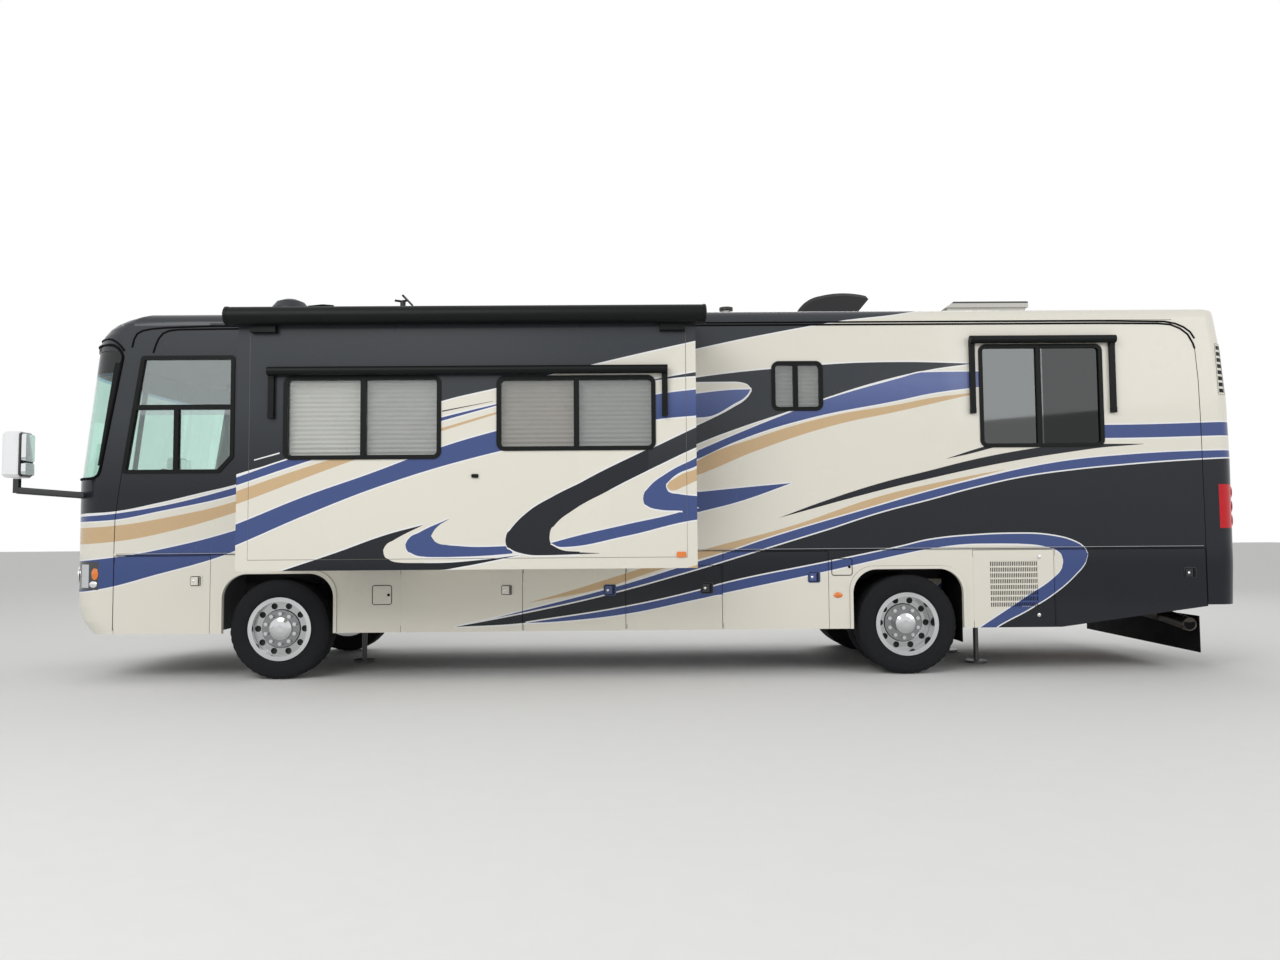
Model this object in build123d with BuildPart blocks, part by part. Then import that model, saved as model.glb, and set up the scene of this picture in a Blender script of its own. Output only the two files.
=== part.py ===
"""Rear-engined motorhome with one slide-out room, 11.3 m long.

Millimetres. The nose points to -X, the driver's side to -Y, and the ground is z = 0.
The origin is on the ground, midway between the sides.
"""
import os

from build123d import *

os.makedirs("parts", exist_ok=True)

# Body shell
HALF_WIDTH = 1275.0
SKIRT_BOTTOM_Z = 440.0
WALL_BOTTOM_Z = 1212.0
DRIP_Z = 3384.0
ROOF_EDGE_Z = 3500.0
CROWN_Z = 3545.0
ROOF_CORNER_R = 130.0
WALL_T = 45.0
SKIRT_T = 40.0
CAP_T = 40.0
CEILING_DROP = 95.0
LEFT, RIGHT = -1, 1

# Seams along the body
NOSE_SEAM_X = -5050.0
TAIL_SEAM_X = 5335.0
ROOF_FRONT_X = -4180.0
ROOF_REAR_X = 5080.0
POST_W = 6.0
DOOR_GAP = 5.0
BELT_RAIL_Z = (1180.0, 1204.0)
BELT_RAIL_PROUD = 6.0
BELT_RAIL_STOP = 15.0
DOOR_T = 30.0
SEAT_GAP = 0.3
# Points of a low dome, rim to crown: share of its radius out, share of its radius below the top
DOME_PROFILE = ((1.0, 0.17), (0.72, 0.05), (0.35, 0.0))
BROW_OVERLAP = 8.0

# Wheels and axles
FRONT_AXLE_X = -3500.0
REAR_AXLE_X = 2473.0
TYRE_R = 475.0
TYRE_W = 275.0
RIM_R = 286.0
WHEEL_Y = HALF_WIDTH - 175
TWIN_SPACING = 310.0
KINGPIN_Y = WHEEL_Y - 220
SPINDLE_R = 45.0
SPINDLE_END_Y = WHEEL_Y + 40
ARCH_HALF = TYRE_R + 50
ARCH_TOP_Z = 2 * TYRE_R + 50
ARCH_R = 230.0
FLARE_W = 30.0
FLARE_PROUD = 12.0
WELL_HALF = TYRE_R + 147

# Slide-out room, drawn in its extended position
SLIDE_TRAVEL = 820.0
SLIDE_FACE_Y = -(HALF_WIDTH + 850)
SLIDE_FACE_X = (-3560.0, 417.0)
SLIDE_FACE_Z = (1057.0, 3190.0)
SLIDE_LIP = 90.0
SLIDE_LIP_T = 25.0
SLIDE_WALL_T = 45.0
SLIDE_INNER_Y = -(HALF_WIDTH - 85)
SLIDE_RUN_GAP = 8.0
SLIDE_STRIP_Z = 1140.0
BAY_TOP_UNDER_SLIDE_Z = 1045.0

# Chassis
RAIL_Y = 430.0
RAIL_W = 80.0
RAIL_Z = (865.0, 1085.0)
RAIL_X = (-4900.0, 5250.0)
FLOOR_Z = (1100.0, 1140.0)
BAY_FLOOR_Z = (450.0, 470.0)
BULKHEAD_T = 20.0

# Windows: name, side, panel, front x, rear x, sill z, head z, divider x
WINDOWS = (
    ("slide_front", LEFT, "slide", -3161.0, -1796.0, 2013.0, 2745.0, -2471.0),
    ("slide_rear", LEFT, "slide", -1317.0, 65.0, 2079.0, 2734.0, -624.0),
    ("galley_left", LEFT, "wall", 1201.0, 1696.0, 2519.0, 3000.0, 1433.0),
    ("bedroom_left", LEFT, "wall", 3200.0, 4396.0, 2154.0, 3152.0, 3775.0),
    ("dinette_right", RIGHT, "wall", -3300.0, -2100.0, 2080.0, 2800.0, -2700.0),
    ("sofa_right", RIGHT, "wall", -1500.0, -300.0, 2080.0, 2800.0, -900.0),
    ("bath_right", RIGHT, "wall", 1201.0, 1696.0, 2519.0, 3000.0, 1433.0),
    ("bedroom_right", RIGHT, "wall", 3200.0, 4396.0, 2154.0, 3152.0, 3775.0),
)
WINDOW_R = 70.0
FRAME_W = 38.0
FRAME_PROUD = 10.0
GLASS_T = 6.0
DIVIDER_W = 46.0

# Bay doors, hinged along their front edge: name, side, front seam x, rear seam x, top z
DOORS = (
    ("door_front_left", LEFT, NOSE_SEAM_X, -4135.0, 1172.0),
    ("door_bay_1_left", LEFT, -2348.0, -1185.0, BAY_TOP_UNDER_SLIDE_Z),
    ("door_bay_2_left", LEFT, -1185.0, -207.0, BAY_TOP_UNDER_SLIDE_Z),
    ("door_bay_3_left", LEFT, -207.0, 710.0, BAY_TOP_UNDER_SLIDE_Z),
    ("door_bay_4_left", LEFT, 710.0, 1723.0, 1172.0),
    ("door_grille_left", LEFT, 3091.0, 3876.0, 1172.0),
    ("door_rear_left", LEFT, 3876.0, TAIL_SEAM_X, 1172.0),
    ("door_bay_1_right", RIGHT, -2348.0, -207.0, 1172.0),
    ("door_bay_2_right", RIGHT, -207.0, 1723.0, 1172.0),
    ("door_rear_right", RIGHT, 3091.0, TAIL_SEAM_X, 1172.0),
)

# Entry door on the right side, ahead of the front wheel
ENTRY_X = (-4950.0, -4190.0)
ENTRY_Z = (520.0, 2660.0)
ENTRY_WINDOW_X = (-4850.0, -4290.0)
ENTRY_WINDOW_Z = (1700.0, 2520.0)

# Nose and tail: height z, x of the plan outline's corner
NOSE_STATIONS = ((440.0, -5333.0), (560.0, -5431.0), (700.0, -5478.0), (1880.0, -5484.0), (3210.0, -5330.0),
                 (3300.0, -5288.0), (3365.0, -5232.0), (3410.0, -5168.0), (3446.0, -5085.0), (3474.0, -4990.0),
                 (3500.0, -4860.0), (3556.0, -4560.0))
TAIL_STATIONS = ((640.0, 5650.0), (1031.0, 5668.0), (2029.0, 5675.0), (2651.0, 5661.0), (3128.0, 5612.0),
                 (3600.0, 5535.0))
NOSE_CORNER_R = 350.0
NOSE_BULGE = 90.0
TAIL_CORNER_R = 200.0
TAIL_BULGE = 40.0
TAIL_BOTTOM_Z = 640.0

# Windshield, wrapped round both corners
SHIELD_Z = (1926.0, 3144.0)
SHIELD_SIDE_X = (-5220.0, -5005.0)
SHIELD_R = 80.0
SHIELD_T = 8.0
SHIELD_RECESS = 6.0
SHIELD_POST_W = 30.0

# Driver's window: corner points (x, z) of its opening
DRIVER_WINDOW = ((-5000.0, 1958.0), (-4828.0, 3088.0), (-3935.0, 3088.0), (-3935.0, 2110.0), (-4070.0, 1958.0))
DRIVER_WINDOW_R = 35.0
DRIVER_RAIL_Z = 2593.0
DRIVER_POST_X = -4486.0

# Rear engine lid, hinged along its top edge
LID_Y = 640.0
LID_Z = (1080.0, 1800.0)


def save(piece, name):
    piece.label = name
    export_step(piece, f"parts/{name}.step")
    return piece


def side_plane(face_y, side, depth):
    """Plane from which an extrusion of `depth` fills the panel behind the face at |y| = face_y."""
    return Plane.XZ.offset(face_y - depth if side == LEFT else -face_y)


def side_span(side, inward, outward=25.0):
    """Low and high y of a slab that reaches from inside one body side to just outside it."""
    return sorted((side * (HALF_WIDTH - inward), side * (HALF_WIDTH + outward)))


def box_between(x, y, z, mode=Mode.ADD):
    """Box between low and high values of x, y and z, for use inside a part block."""
    with Locations(((x[0] + x[1]) / 2, (y[0] + y[1]) / 2, (z[0] + z[1]) / 2)):
        Box(x[1] - x[0], y[1] - y[0], z[1] - z[0], mode=mode)


# Outlines

def wall_region(plane):
    """Side panel between the nose and tail seams, up to the drip rail."""
    with BuildSketch(plane) as region:
        with BuildLine():
            Polyline((NOSE_SEAM_X, SKIRT_BOTTOM_Z), (NOSE_SEAM_X, 1950), (-4735, 3100), (-4735, DRIP_Z),
                     (5290, DRIP_Z), (5330, 2400), (TAIL_SEAM_X, SKIRT_BOTTOM_Z), close=True)
        make_face()
        fillet(region.vertices().group_by(Axis.Y)[-1], 270)
    return region.sketch


def rising_edge(plane):
    """Ground clearance cut away under the rear overhang."""
    with BuildSketch(plane) as wedge:
        Polygon((3930, SKIRT_BOTTOM_Z), (TAIL_SEAM_X + 10, 627), (5900, 627), (5900, 300), (3930, 300), align=None)
    return wedge.sketch


def body_section(inset, drop):
    """Cross-section of the body with its rounded roof edges, seen along the coach."""
    half = HALF_WIDTH - inset
    with BuildSketch(Plane.YZ) as section:
        with BuildLine():
            Polyline((-half, ROOF_EDGE_Z - drop), (-half, 200), (half, 200), (half, ROOF_EDGE_Z - drop))
            ThreePointArc((half, ROOF_EDGE_Z - drop), (0, CROWN_Z - drop), (-half, ROOF_EDGE_Z - drop))
        make_face()
        fillet(section.vertices().group_by(Axis.Y)[-1], ROOF_CORNER_R - inset)
    return section.sketch


def plan_loft(stations, seam_x, corner_r, bulge, inset, end):
    """Solid between plan outlines at several heights; end is -1 at the nose and 1 at the tail."""
    half = HALF_WIDTH - inset
    outlines = []
    for z, corner_x in stations:
        tip = corner_x - end * inset
        with BuildSketch(Plane.XY.offset(z)) as plan:
            with BuildLine():
                Polyline((tip, -half), (seam_x, -half), (seam_x, half), (tip, half))
                ThreePointArc((tip, half), (tip + end * bulge, 0), (tip, -half))
            make_face()
            fillet(plan.vertices().group_by(Axis.X)[0 if end < 0 else -1], corner_r - inset)
        outlines.append(plan.sketch)
    with BuildPart() as solid:
        loft(outlines, ruled=True)
    return solid.part


def tail_brow(inset):
    """Side profile that rounds the tail into the roof."""
    with BuildSketch(Plane.XZ) as profile:
        with BuildLine():
            arc = ThreePointArc((5640 - inset, 3250 - inset), (5530 - inset, 3440 - inset),
                                (5250 - inset, 3532 - inset))
            Polyline(arc @ 1, (ROOF_REAR_X, CROWN_Z + BROW_OVERLAP - inset), (ROOF_REAR_X, 100), (6000, 100),
                     (6000, 3250 - inset), arc @ 0)
        make_face()
    return profile.sketch


def window_face(plane, window, grow=0.0):
    """Rounded opening of one window, made larger by `grow` all round."""
    _, _, _, x0, x1, z0, z1, _ = window
    with BuildSketch(plane) as face:
        with Locations(((x0 + x1) / 2, (z0 + z1) / 2)):
            RectangleRounded(x1 - x0 + 2 * grow, z1 - z0 + 2 * grow, WINDOW_R + grow)
    return face.sketch


def driver_face(plane, grow=0.0):
    """Opening of the driver's window, made larger by `grow` all round."""
    with BuildSketch(plane) as face:
        with BuildLine():
            Polyline(*DRIVER_WINDOW, close=True)
        make_face()
        fillet(face.vertices(), DRIVER_WINDOW_R)
        if grow:
            offset(amount=grow, mode=Mode.REPLACE)
    return face.sketch


def shield_region(plane):
    """Band of the nose that the windshield takes, slanted at its side edges."""
    with BuildSketch(plane) as band:
        with BuildLine():
            Polyline((-5900, SHIELD_Z[0]), (SHIELD_SIDE_X[0], SHIELD_Z[0]), (SHIELD_SIDE_X[1], SHIELD_Z[1]),
                     (-5900, SHIELD_Z[1]), close=True)
        make_face()
        fillet(band.vertices().filter_by(lambda v: v.X > -5800), SHIELD_R)
    return band.sketch


def arch_face(plane, centre_x, half, top_z):
    """Wheel arch opening with a flat top and round shoulders."""
    with BuildSketch(plane) as face:
        with BuildLine():
            Polyline((centre_x - half, 300), (centre_x - half, top_z), (centre_x + half, top_z),
                     (centre_x + half, 300), close=True)
        make_face()
        fillet(face.vertices().group_by(Axis.Y)[-1], ARCH_R)
    return face.sketch


# Nose and tail caps

def nose_solid(inset):
    stations = [(z - inset if z > SHIELD_Z[1] else z, x) for z, x in NOSE_STATIONS]
    stations[0] = (NOSE_STATIONS[0][0] - 3 * inset, NOSE_STATIONS[0][1])
    hull = plan_loft(stations, ROOF_FRONT_X, NOSE_CORNER_R, NOSE_BULGE, inset, -1)
    section = body_section(inset, inset)
    with BuildPart() as solid:
        add(hull)
        extrude(section, amount=-7000, mode=Mode.INTERSECT)
    return solid.part


def tail_solid(inset):
    stations = [(z if i else z - 3 * inset, x) for i, (z, x) in enumerate(TAIL_STATIONS)]
    hull = plan_loft(stations, ROOF_REAR_X, TAIL_CORNER_R, TAIL_BULGE, inset, 1)
    section = body_section(inset, inset)
    profile = tail_brow(inset)
    with BuildPart() as solid:
        add(hull)
        extrude(section, amount=7000, mode=Mode.INTERSECT)
        extrude(profile, amount=2000, both=True, mode=Mode.INTERSECT)
    return solid.part


nose_outer = nose_solid(0)
nose_inner = nose_solid(CAP_T)
tail_outer = tail_solid(0)
tail_inner = tail_solid(CAP_T)
walls_face = wall_region(Plane.XZ)
shield_face = shield_region(Plane.XZ)
driver_cut = driver_face(Plane.XZ)

HEADLAMP_X = -5195.0
HEADLAMP_Z = (860.0, 1125.0)
HEADLAMP_WIDTH = 515.0
HEADLAMP_T = 60.0
GRILLE_Y = 560.0
GRILLE_Z = (700.0, 1010.0)
GRILLE_R = 60.0
GRILLE_BARS = 5
GRILLE_BAR_H = 22.0

with BuildPart() as shield_prism:
    extrude(shield_face, amount=2000, both=True)
    box_between((-6000, -5000), (-SHIELD_POST_W / 2, SHIELD_POST_W / 2), (1500, 3400), Mode.SUBTRACT)

with BuildPart() as lamp_prism:
    for side in (LEFT, RIGHT):
        box_between((-6000, HEADLAMP_X), side_span(side, HEADLAMP_WIDTH, 125), HEADLAMP_Z)

with BuildPart() as grille_prism:
    box_between((-6000, -5300), (-GRILLE_Y, GRILLE_Y), GRILLE_Z)
    fillet(grille_prism.edges().filter_by(Axis.X), GRILLE_R)

with BuildPart() as front_cap:
    add(nose_outer)
    add(nose_inner, mode=Mode.SUBTRACT)
    extrude(walls_face, amount=2000, both=True, mode=Mode.SUBTRACT)
    extrude(driver_cut, amount=2000, mode=Mode.SUBTRACT)
    add(shield_prism.part, mode=Mode.SUBTRACT)
    add(lamp_prism.part, mode=Mode.SUBTRACT)
    add(grille_prism.part, mode=Mode.SUBTRACT)
    box_between((ENTRY_X[0] - DOOR_GAP, ENTRY_X[1] + DOOR_GAP), side_span(RIGHT, 75), (0, ENTRY_Z[1] + DOOR_GAP),
                Mode.SUBTRACT)
save(front_cap.part, "front_cap")

with BuildPart() as windshield:
    add(nose_solid(SHIELD_RECESS))
    add(nose_solid(SHIELD_RECESS + SHIELD_T), mode=Mode.SUBTRACT)
    add(shield_prism.part, mode=Mode.INTERSECT)
save(windshield.part, "windshield")

with BuildPart() as headlamps:
    add(nose_outer)
    add(nose_solid(HEADLAMP_T), mode=Mode.SUBTRACT)
    add(lamp_prism.part, mode=Mode.INTERSECT)
save(headlamps.part, "headlamps")

with BuildPart() as front_grille:
    add(nose_outer)
    add(nose_inner, mode=Mode.SUBTRACT)
    add(grille_prism.part, mode=Mode.INTERSECT)
    pitch = (GRILLE_Z[1] - GRILLE_Z[0] - 2 * GRILLE_BAR_H) / GRILLE_BARS
    for i in range(GRILLE_BARS):
        slot_z = GRILLE_Z[0] + GRILLE_BAR_H + i * pitch
        box_between((-6000, -5300), (-GRILLE_Y + GRILLE_R, GRILLE_Y - GRILLE_R),
                    (slot_z + GRILLE_BAR_H / 2, slot_z + pitch - GRILLE_BAR_H / 2), Mode.SUBTRACT)
save(front_grille.part, "front_grille")


# Tail cap with its lamps, bumper and engine lid

LAMP_Z = (1367.0, 1787.0)
LAMP_WIDTH = 265.0
LAMP_X = 5480.0
LAMP_T = 60.0
BUMPER_Z = (TAIL_BOTTOM_Z, 1000.0)

with BuildPart() as lid_prism:
    box_between((5400, 6000), (-LID_Y, LID_Y), LID_Z)
    fillet(lid_prism.edges().filter_by(Axis.X), 50)

with BuildPart() as lid_opening:
    box_between((5400, 6000), (-LID_Y - DOOR_GAP, LID_Y + DOOR_GAP), (LID_Z[0] - DOOR_GAP, LID_Z[1] + DOOR_GAP))
    fillet(lid_opening.edges().filter_by(Axis.X), 50)

with BuildPart() as tail_lamp_prism:
    for side in (LEFT, RIGHT):
        box_between((LAMP_X, 6000), side_span(side, LAMP_WIDTH, 125), LAMP_Z)

with BuildPart() as bumper_prism:
    box_between((5300, 6000), (-HALF_WIDTH - 125, HALF_WIDTH + 125), (500, BUMPER_Z[1]))

with BuildPart() as tail_shell:
    add(tail_outer)
    add(tail_inner, mode=Mode.SUBTRACT)
    extrude(walls_face, amount=2000, both=True, mode=Mode.SUBTRACT)

with BuildPart() as rear_cap:
    add(tail_shell.part)
    add(bumper_prism.part, mode=Mode.SUBTRACT)
    add(lid_opening.part, mode=Mode.SUBTRACT)
    add(tail_lamp_prism.part, mode=Mode.SUBTRACT)
    box_between((5690, 5706), (-400, 400), (LID_Z[1] + SEAT_GAP, LID_Z[1] + DOOR_GAP + 2))
save(rear_cap.part, "rear_cap")

with BuildPart() as rear_bumper:
    add(tail_shell.part)
    add(bumper_prism.part, mode=Mode.INTERSECT)
save(rear_bumper.part, "rear_bumper")

with BuildPart() as engine_lid:
    add(tail_shell.part)
    add(lid_prism.part, mode=Mode.INTERSECT)
save(engine_lid.part, "engine_lid")

with BuildPart() as tail_lamps:
    add(tail_outer)
    add(tail_solid(LAMP_T), mode=Mode.SUBTRACT)
    add(tail_lamp_prism.part, mode=Mode.INTERSECT)
save(tail_lamps.part, "tail_lamps")


# Roof between the caps

DRIP_PROUD = 9.0
with BuildPart() as roof:
    extrude(body_section(0, 0), amount=ROOF_REAR_X)
    extrude(body_section(0, 0), amount=ROOF_FRONT_X)
    extrude(body_section(WALL_T, CEILING_DROP), amount=ROOF_REAR_X, mode=Mode.SUBTRACT)
    extrude(body_section(WALL_T, CEILING_DROP), amount=ROOF_FRONT_X, mode=Mode.SUBTRACT)
    split(bisect_by=Plane.XY.offset(DRIP_Z), keep=Keep.TOP)
    for side in (LEFT, RIGHT):
        box_between((ROOF_FRONT_X, ROOF_REAR_X), side_span(side, 2, DRIP_PROUD), (DRIP_Z + 1, DRIP_Z + 15))
save(roof.part, "roof")


# Side walls with their window openings

SLIDE_BOX_X = (SLIDE_FACE_X[0] + SLIDE_LIP, SLIDE_FACE_X[1] - SLIDE_LIP)
SLIDE_BOX_Z = (SLIDE_FACE_Z[0] + SLIDE_LIP + 5, SLIDE_FACE_Z[1] - SLIDE_LIP)
OPENING_X = (SLIDE_BOX_X[0] - SLIDE_RUN_GAP, SLIDE_BOX_X[1] + SLIDE_RUN_GAP)
OPENING_TOP_Z = SLIDE_BOX_Z[1] + SLIDE_RUN_GAP
HINGE_DEPTH = 12.0
HINGE_MARGIN = 60.0
ENTRY_HINGE_Z = ((560.0, 1180.0), (1260.0, 2200.0))


def hinge_strip(x, side, z):
    """Hinge knuckles in the gap in front of a door, on the panel ahead of it."""
    y = sorted((side * (HALF_WIDTH - 1), side * (HALF_WIDTH - HINGE_DEPTH)))
    box_between((x - DOOR_GAP - 1, x - SEAT_GAP), y, (z[0] + HINGE_MARGIN, z[1] - HINGE_MARGIN))


def wall_panel(side):
    plane = side_plane(HALF_WIDTH, side, WALL_T)
    region = wall_region(plane)
    cuts = [window_face(plane, w) for w in WINDOWS if w[1] == side and w[2] == "wall"]
    if side == LEFT:
        cuts.append(driver_face(plane))
    y = side_span(side, 75)
    with BuildPart() as wall:
        extrude(region, amount=WALL_T)
        box_between((-6000, 6000), y, (0, WALL_BOTTOM_Z), Mode.SUBTRACT)
        for cut in cuts:
            extrude(cut, amount=WALL_T, mode=Mode.SUBTRACT)
        if side == LEFT:
            box_between(OPENING_X, y, (1000, OPENING_TOP_Z), Mode.SUBTRACT)
        else:
            box_between((ENTRY_X[0] - DOOR_GAP, ENTRY_X[1] + DOOR_GAP), y, (0, ENTRY_Z[1] + DOOR_GAP), Mode.SUBTRACT)
            hinge_strip(ENTRY_X[0], RIGHT, ENTRY_HINGE_Z[1])
    return wall.part


save(wall_panel(LEFT), "left_wall")
save(wall_panel(RIGHT), "right_wall")


# Skirts: arch panels, posts between the bay doors and the header above them

SLIDE_PADS_X = (-3200.0, -2000.0, -1000.0, 100.0)


def door_span(door):
    """Front and rear x of a bay door between its two posts."""
    return door[2] + POST_W / 2 + DOOR_GAP, door[3] - POST_W / 2 - DOOR_GAP


def flare(side, centre_x):
    """Raised lip round a wheel arch."""
    plane = side_plane(HALF_WIDTH + FLARE_PROUD, side, FLARE_PROUD + 5)
    outer = arch_face(plane, centre_x, ARCH_HALF + FLARE_W, ARCH_TOP_Z + FLARE_W)
    inner = arch_face(plane, centre_x, ARCH_HALF, ARCH_TOP_Z)
    with BuildPart() as lip:
        extrude(outer, amount=FLARE_PROUD + 5)
        extrude(inner, amount=FLARE_PROUD + 5, mode=Mode.SUBTRACT)
        box_between((-6000, 6000), side_span(side, 75), (0, SKIRT_BOTTOM_Z), Mode.SUBTRACT)
    return lip.part


def belt_rail(side, spans):
    """Raised rail along the belt line, over each span of x."""
    for span in spans:
        box_between(span, side_span(side, 5, BELT_RAIL_PROUD), BELT_RAIL_Z)


def skirt(side):
    plane = side_plane(HALF_WIDTH, side, SKIRT_T)
    region = wall_region(plane)
    front_arch = arch_face(plane, FRONT_AXLE_X, ARCH_HALF, ARCH_TOP_Z)
    rear_arch = arch_face(plane, REAR_AXLE_X, ARCH_HALF, ARCH_TOP_Z)
    wedge = rising_edge(plane)
    flares = [flare(side, x) for x in (FRONT_AXLE_X, REAR_AXLE_X)]
    y = side_span(side, 75)
    with BuildPart() as panel:
        extrude(region, amount=SKIRT_T)
        box_between((-6000, 6000), y, (WALL_BOTTOM_Z, 3500), Mode.SUBTRACT)
        for face in (front_arch, rear_arch, wedge):
            extrude(face, amount=SKIRT_T, mode=Mode.SUBTRACT)
        for door in DOORS:
            if door[1] == side:
                x0, x1 = door_span(door)
                box_between((x0 - DOOR_GAP, x1 + DOOR_GAP), y, (0, door[4] + DOOR_GAP), Mode.SUBTRACT)
                hinge_strip(x0, side, (SKIRT_BOTTOM_Z, door[4]))
        if side == LEFT:
            box_between(OPENING_X, y, (SLIDE_STRIP_Z, 1300), Mode.SUBTRACT)
            for x in SLIDE_PADS_X:
                box_between((x - 110, x + 110), (-(HALF_WIDTH - 13), -(HALF_WIDTH - 35)),
                            (SLIDE_STRIP_Z - 1, SLIDE_BOX_Z[0] - SEAT_GAP))
            belt_rail(side, ((NOSE_SEAM_X, SLIDE_FACE_X[0] - BELT_RAIL_STOP),
                             (SLIDE_FACE_X[1] + BELT_RAIL_STOP, TAIL_SEAM_X - BELT_RAIL_STOP)))
        else:
            box_between((ENTRY_X[0] - DOOR_GAP, ENTRY_X[1] + DOOR_GAP), y, (0, 1300), Mode.SUBTRACT)
            hinge_strip(ENTRY_X[0], RIGHT, ENTRY_HINGE_Z[0])
            box_between((ENTRY_X[0] - DOOR_GAP - 1, ENTRY_X[1] + DOOR_GAP + 1), (HALF_WIDTH - SKIRT_T, HALF_WIDTH),
                        (SKIRT_BOTTOM_Z, ENTRY_Z[0] - DOOR_GAP))
            belt_rail(side, ((NOSE_SEAM_X, ENTRY_X[0] - BELT_RAIL_STOP), (ENTRY_X[1] + BELT_RAIL_STOP, TAIL_SEAM_X - BELT_RAIL_STOP)))
        for lip in flares:
            add(lip)
    return panel.part


save(skirt(LEFT), "left_skirt")
save(skirt(RIGHT), "right_skirt")


GRILLE_DOOR_X = (3259.0, 3715.0)
GRILLE_DOOR_Z = (627.0, 1069.0)
SLOT_COLUMNS = 26
SLOT_ROWS = 8
SLOT_SIZE = (10.0, 40.0)
PLATE_DEPTH = 4.0
PLATE_T = 6.0


def louvre_plate():
    """Radiator air plate pierced by rows of upright slots, set just behind the door's face."""
    width = GRILLE_DOOR_X[1] - GRILLE_DOOR_X[0]
    height = GRILLE_DOOR_Z[1] - GRILLE_DOOR_Z[0]
    with BuildSketch(side_plane(HALF_WIDTH - PLATE_DEPTH, LEFT, PLATE_T)) as face:
        with Locations((sum(GRILLE_DOOR_X) / 2, sum(GRILLE_DOOR_Z) / 2)):
            Rectangle(width + 4, height + 4)
            with GridLocations(width / SLOT_COLUMNS, height / SLOT_ROWS, SLOT_COLUMNS, SLOT_ROWS):
                Rectangle(*SLOT_SIZE, mode=Mode.SUBTRACT)
    with BuildPart() as plate:
        extrude(face.sketch, amount=PLATE_T)
    return plate.part


def bay_door(door):
    name, side, _, _, top = door
    plane = side_plane(HALF_WIDTH, side, DOOR_T)
    wedge = rising_edge(plane)
    x = door_span(door)
    y = sorted((side * HALF_WIDTH, side * (HALF_WIDTH - DOOR_T)))
    with BuildPart() as leaf:
        box_between(x, y, (SKIRT_BOTTOM_Z, top))
        extrude(wedge, amount=DOOR_T, mode=Mode.SUBTRACT)
        if name == "door_grille_left":
            box_between(GRILLE_DOOR_X, y, GRILLE_DOOR_Z, Mode.SUBTRACT)
            add(louvre_plate())
    return leaf.part


for door in DOORS:
    save(bay_door(door), door[0])

entry_plane = side_plane(HALF_WIDTH, RIGHT, WALL_T)
entry_row = ("entry", RIGHT, "door", ENTRY_WINDOW_X[0], ENTRY_WINDOW_X[1], ENTRY_WINDOW_Z[0], ENTRY_WINDOW_Z[1], 0)
entry_cut = window_face(entry_plane, entry_row)
with BuildPart() as entry_door:
    box_between(ENTRY_X, (HALF_WIDTH - WALL_T, HALF_WIDTH), ENTRY_Z)
    extrude(entry_cut, amount=WALL_T, mode=Mode.SUBTRACT)
    belt_rail(RIGHT, ((ENTRY_X[0] + BELT_RAIL_STOP, ENTRY_X[1] - BELT_RAIL_STOP),))
save(entry_door.part, "entry_door")

glass_plane = side_plane(HALF_WIDTH - 12, RIGHT, GLASS_T)
entry_pane = window_face(glass_plane, entry_row)
with BuildPart() as entry_glass:
    extrude(entry_pane, amount=GLASS_T)
save(entry_glass.part, "entry_door_glass")


# Window frames and panes

GLASS_DEPTH = 12.0


def frame_and_pane(outline, side, face_y, depth, bars):
    """Frame ring with its bars, and the pane inside it, as two parts."""
    ring_plane = side_plane(face_y + FRAME_PROUD, side, depth + FRAME_PROUD)
    pane_plane = side_plane(face_y - GLASS_DEPTH, side, GLASS_T)
    outer_face = outline(ring_plane, 0.0)
    inner_face = outline(ring_plane, -FRAME_W)
    pane_face = outline(pane_plane, -FRAME_W)
    y = sorted((side * (face_y + FRAME_PROUD), side * (face_y - depth)))
    with BuildPart() as bar_block:
        for x, z in bars:
            box_between(x, y, z)
    with BuildPart() as ring:
        extrude(inner_face, amount=depth + FRAME_PROUD)
        add(bar_block.part, mode=Mode.INTERSECT)
    with BuildPart() as frame:
        extrude(outer_face, amount=depth + FRAME_PROUD)
        extrude(inner_face, amount=depth + FRAME_PROUD, mode=Mode.SUBTRACT)
        add(ring.part)
    with BuildPart() as pane:
        extrude(pane_face, amount=GLASS_T)
        add(bar_block.part, mode=Mode.SUBTRACT)
    return frame.part, pane.part


def window_parts(window):
    _, side, panel, x0, x1, z0, z1, divider = window
    face_y = -SLIDE_FACE_Y if panel == "slide" else HALF_WIDTH
    depth = SLIDE_LIP_T + SLIDE_WALL_T if panel == "slide" else WALL_T
    bars = [((divider - DIVIDER_W / 2, divider + DIVIDER_W / 2), (z0, z1))]
    return frame_and_pane(lambda plane, grow: window_face(plane, window, grow), side, face_y, depth, bars)


frames = {"wall": [], "slide": []}
panes = {"wall": [], "slide": []}
for window in WINDOWS:
    frame, pane = window_parts(window)
    frames[window[2]].append(frame)
    panes[window[2]].append(pane)
driver_bars = [((-5100, -3900), (DRIVER_RAIL_Z - DIVIDER_W / 2, DRIVER_RAIL_Z + DIVIDER_W / 2)),
               ((DRIVER_POST_X - DIVIDER_W / 2, DRIVER_POST_X + DIVIDER_W / 2), (1900, DRIVER_RAIL_Z))]
frame, pane = frame_and_pane(driver_face, LEFT, HALF_WIDTH, WALL_T, driver_bars)
frames["wall"].append(frame)
panes["wall"].append(pane)

for panel, frame_name, pane_name in (("wall", "window_frames", "window_glass"),
                                     ("slide", "slide_window_frames", "slide_window_glass")):
    with BuildPart() as frame_set:
        for piece in frames[panel]:
            add(piece)
    save(frame_set.part, frame_name)
    with BuildPart() as pane_set:
        for piece in panes[panel]:
            add(piece)
    save(pane_set.part, pane_name)


# Slide-out room

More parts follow.
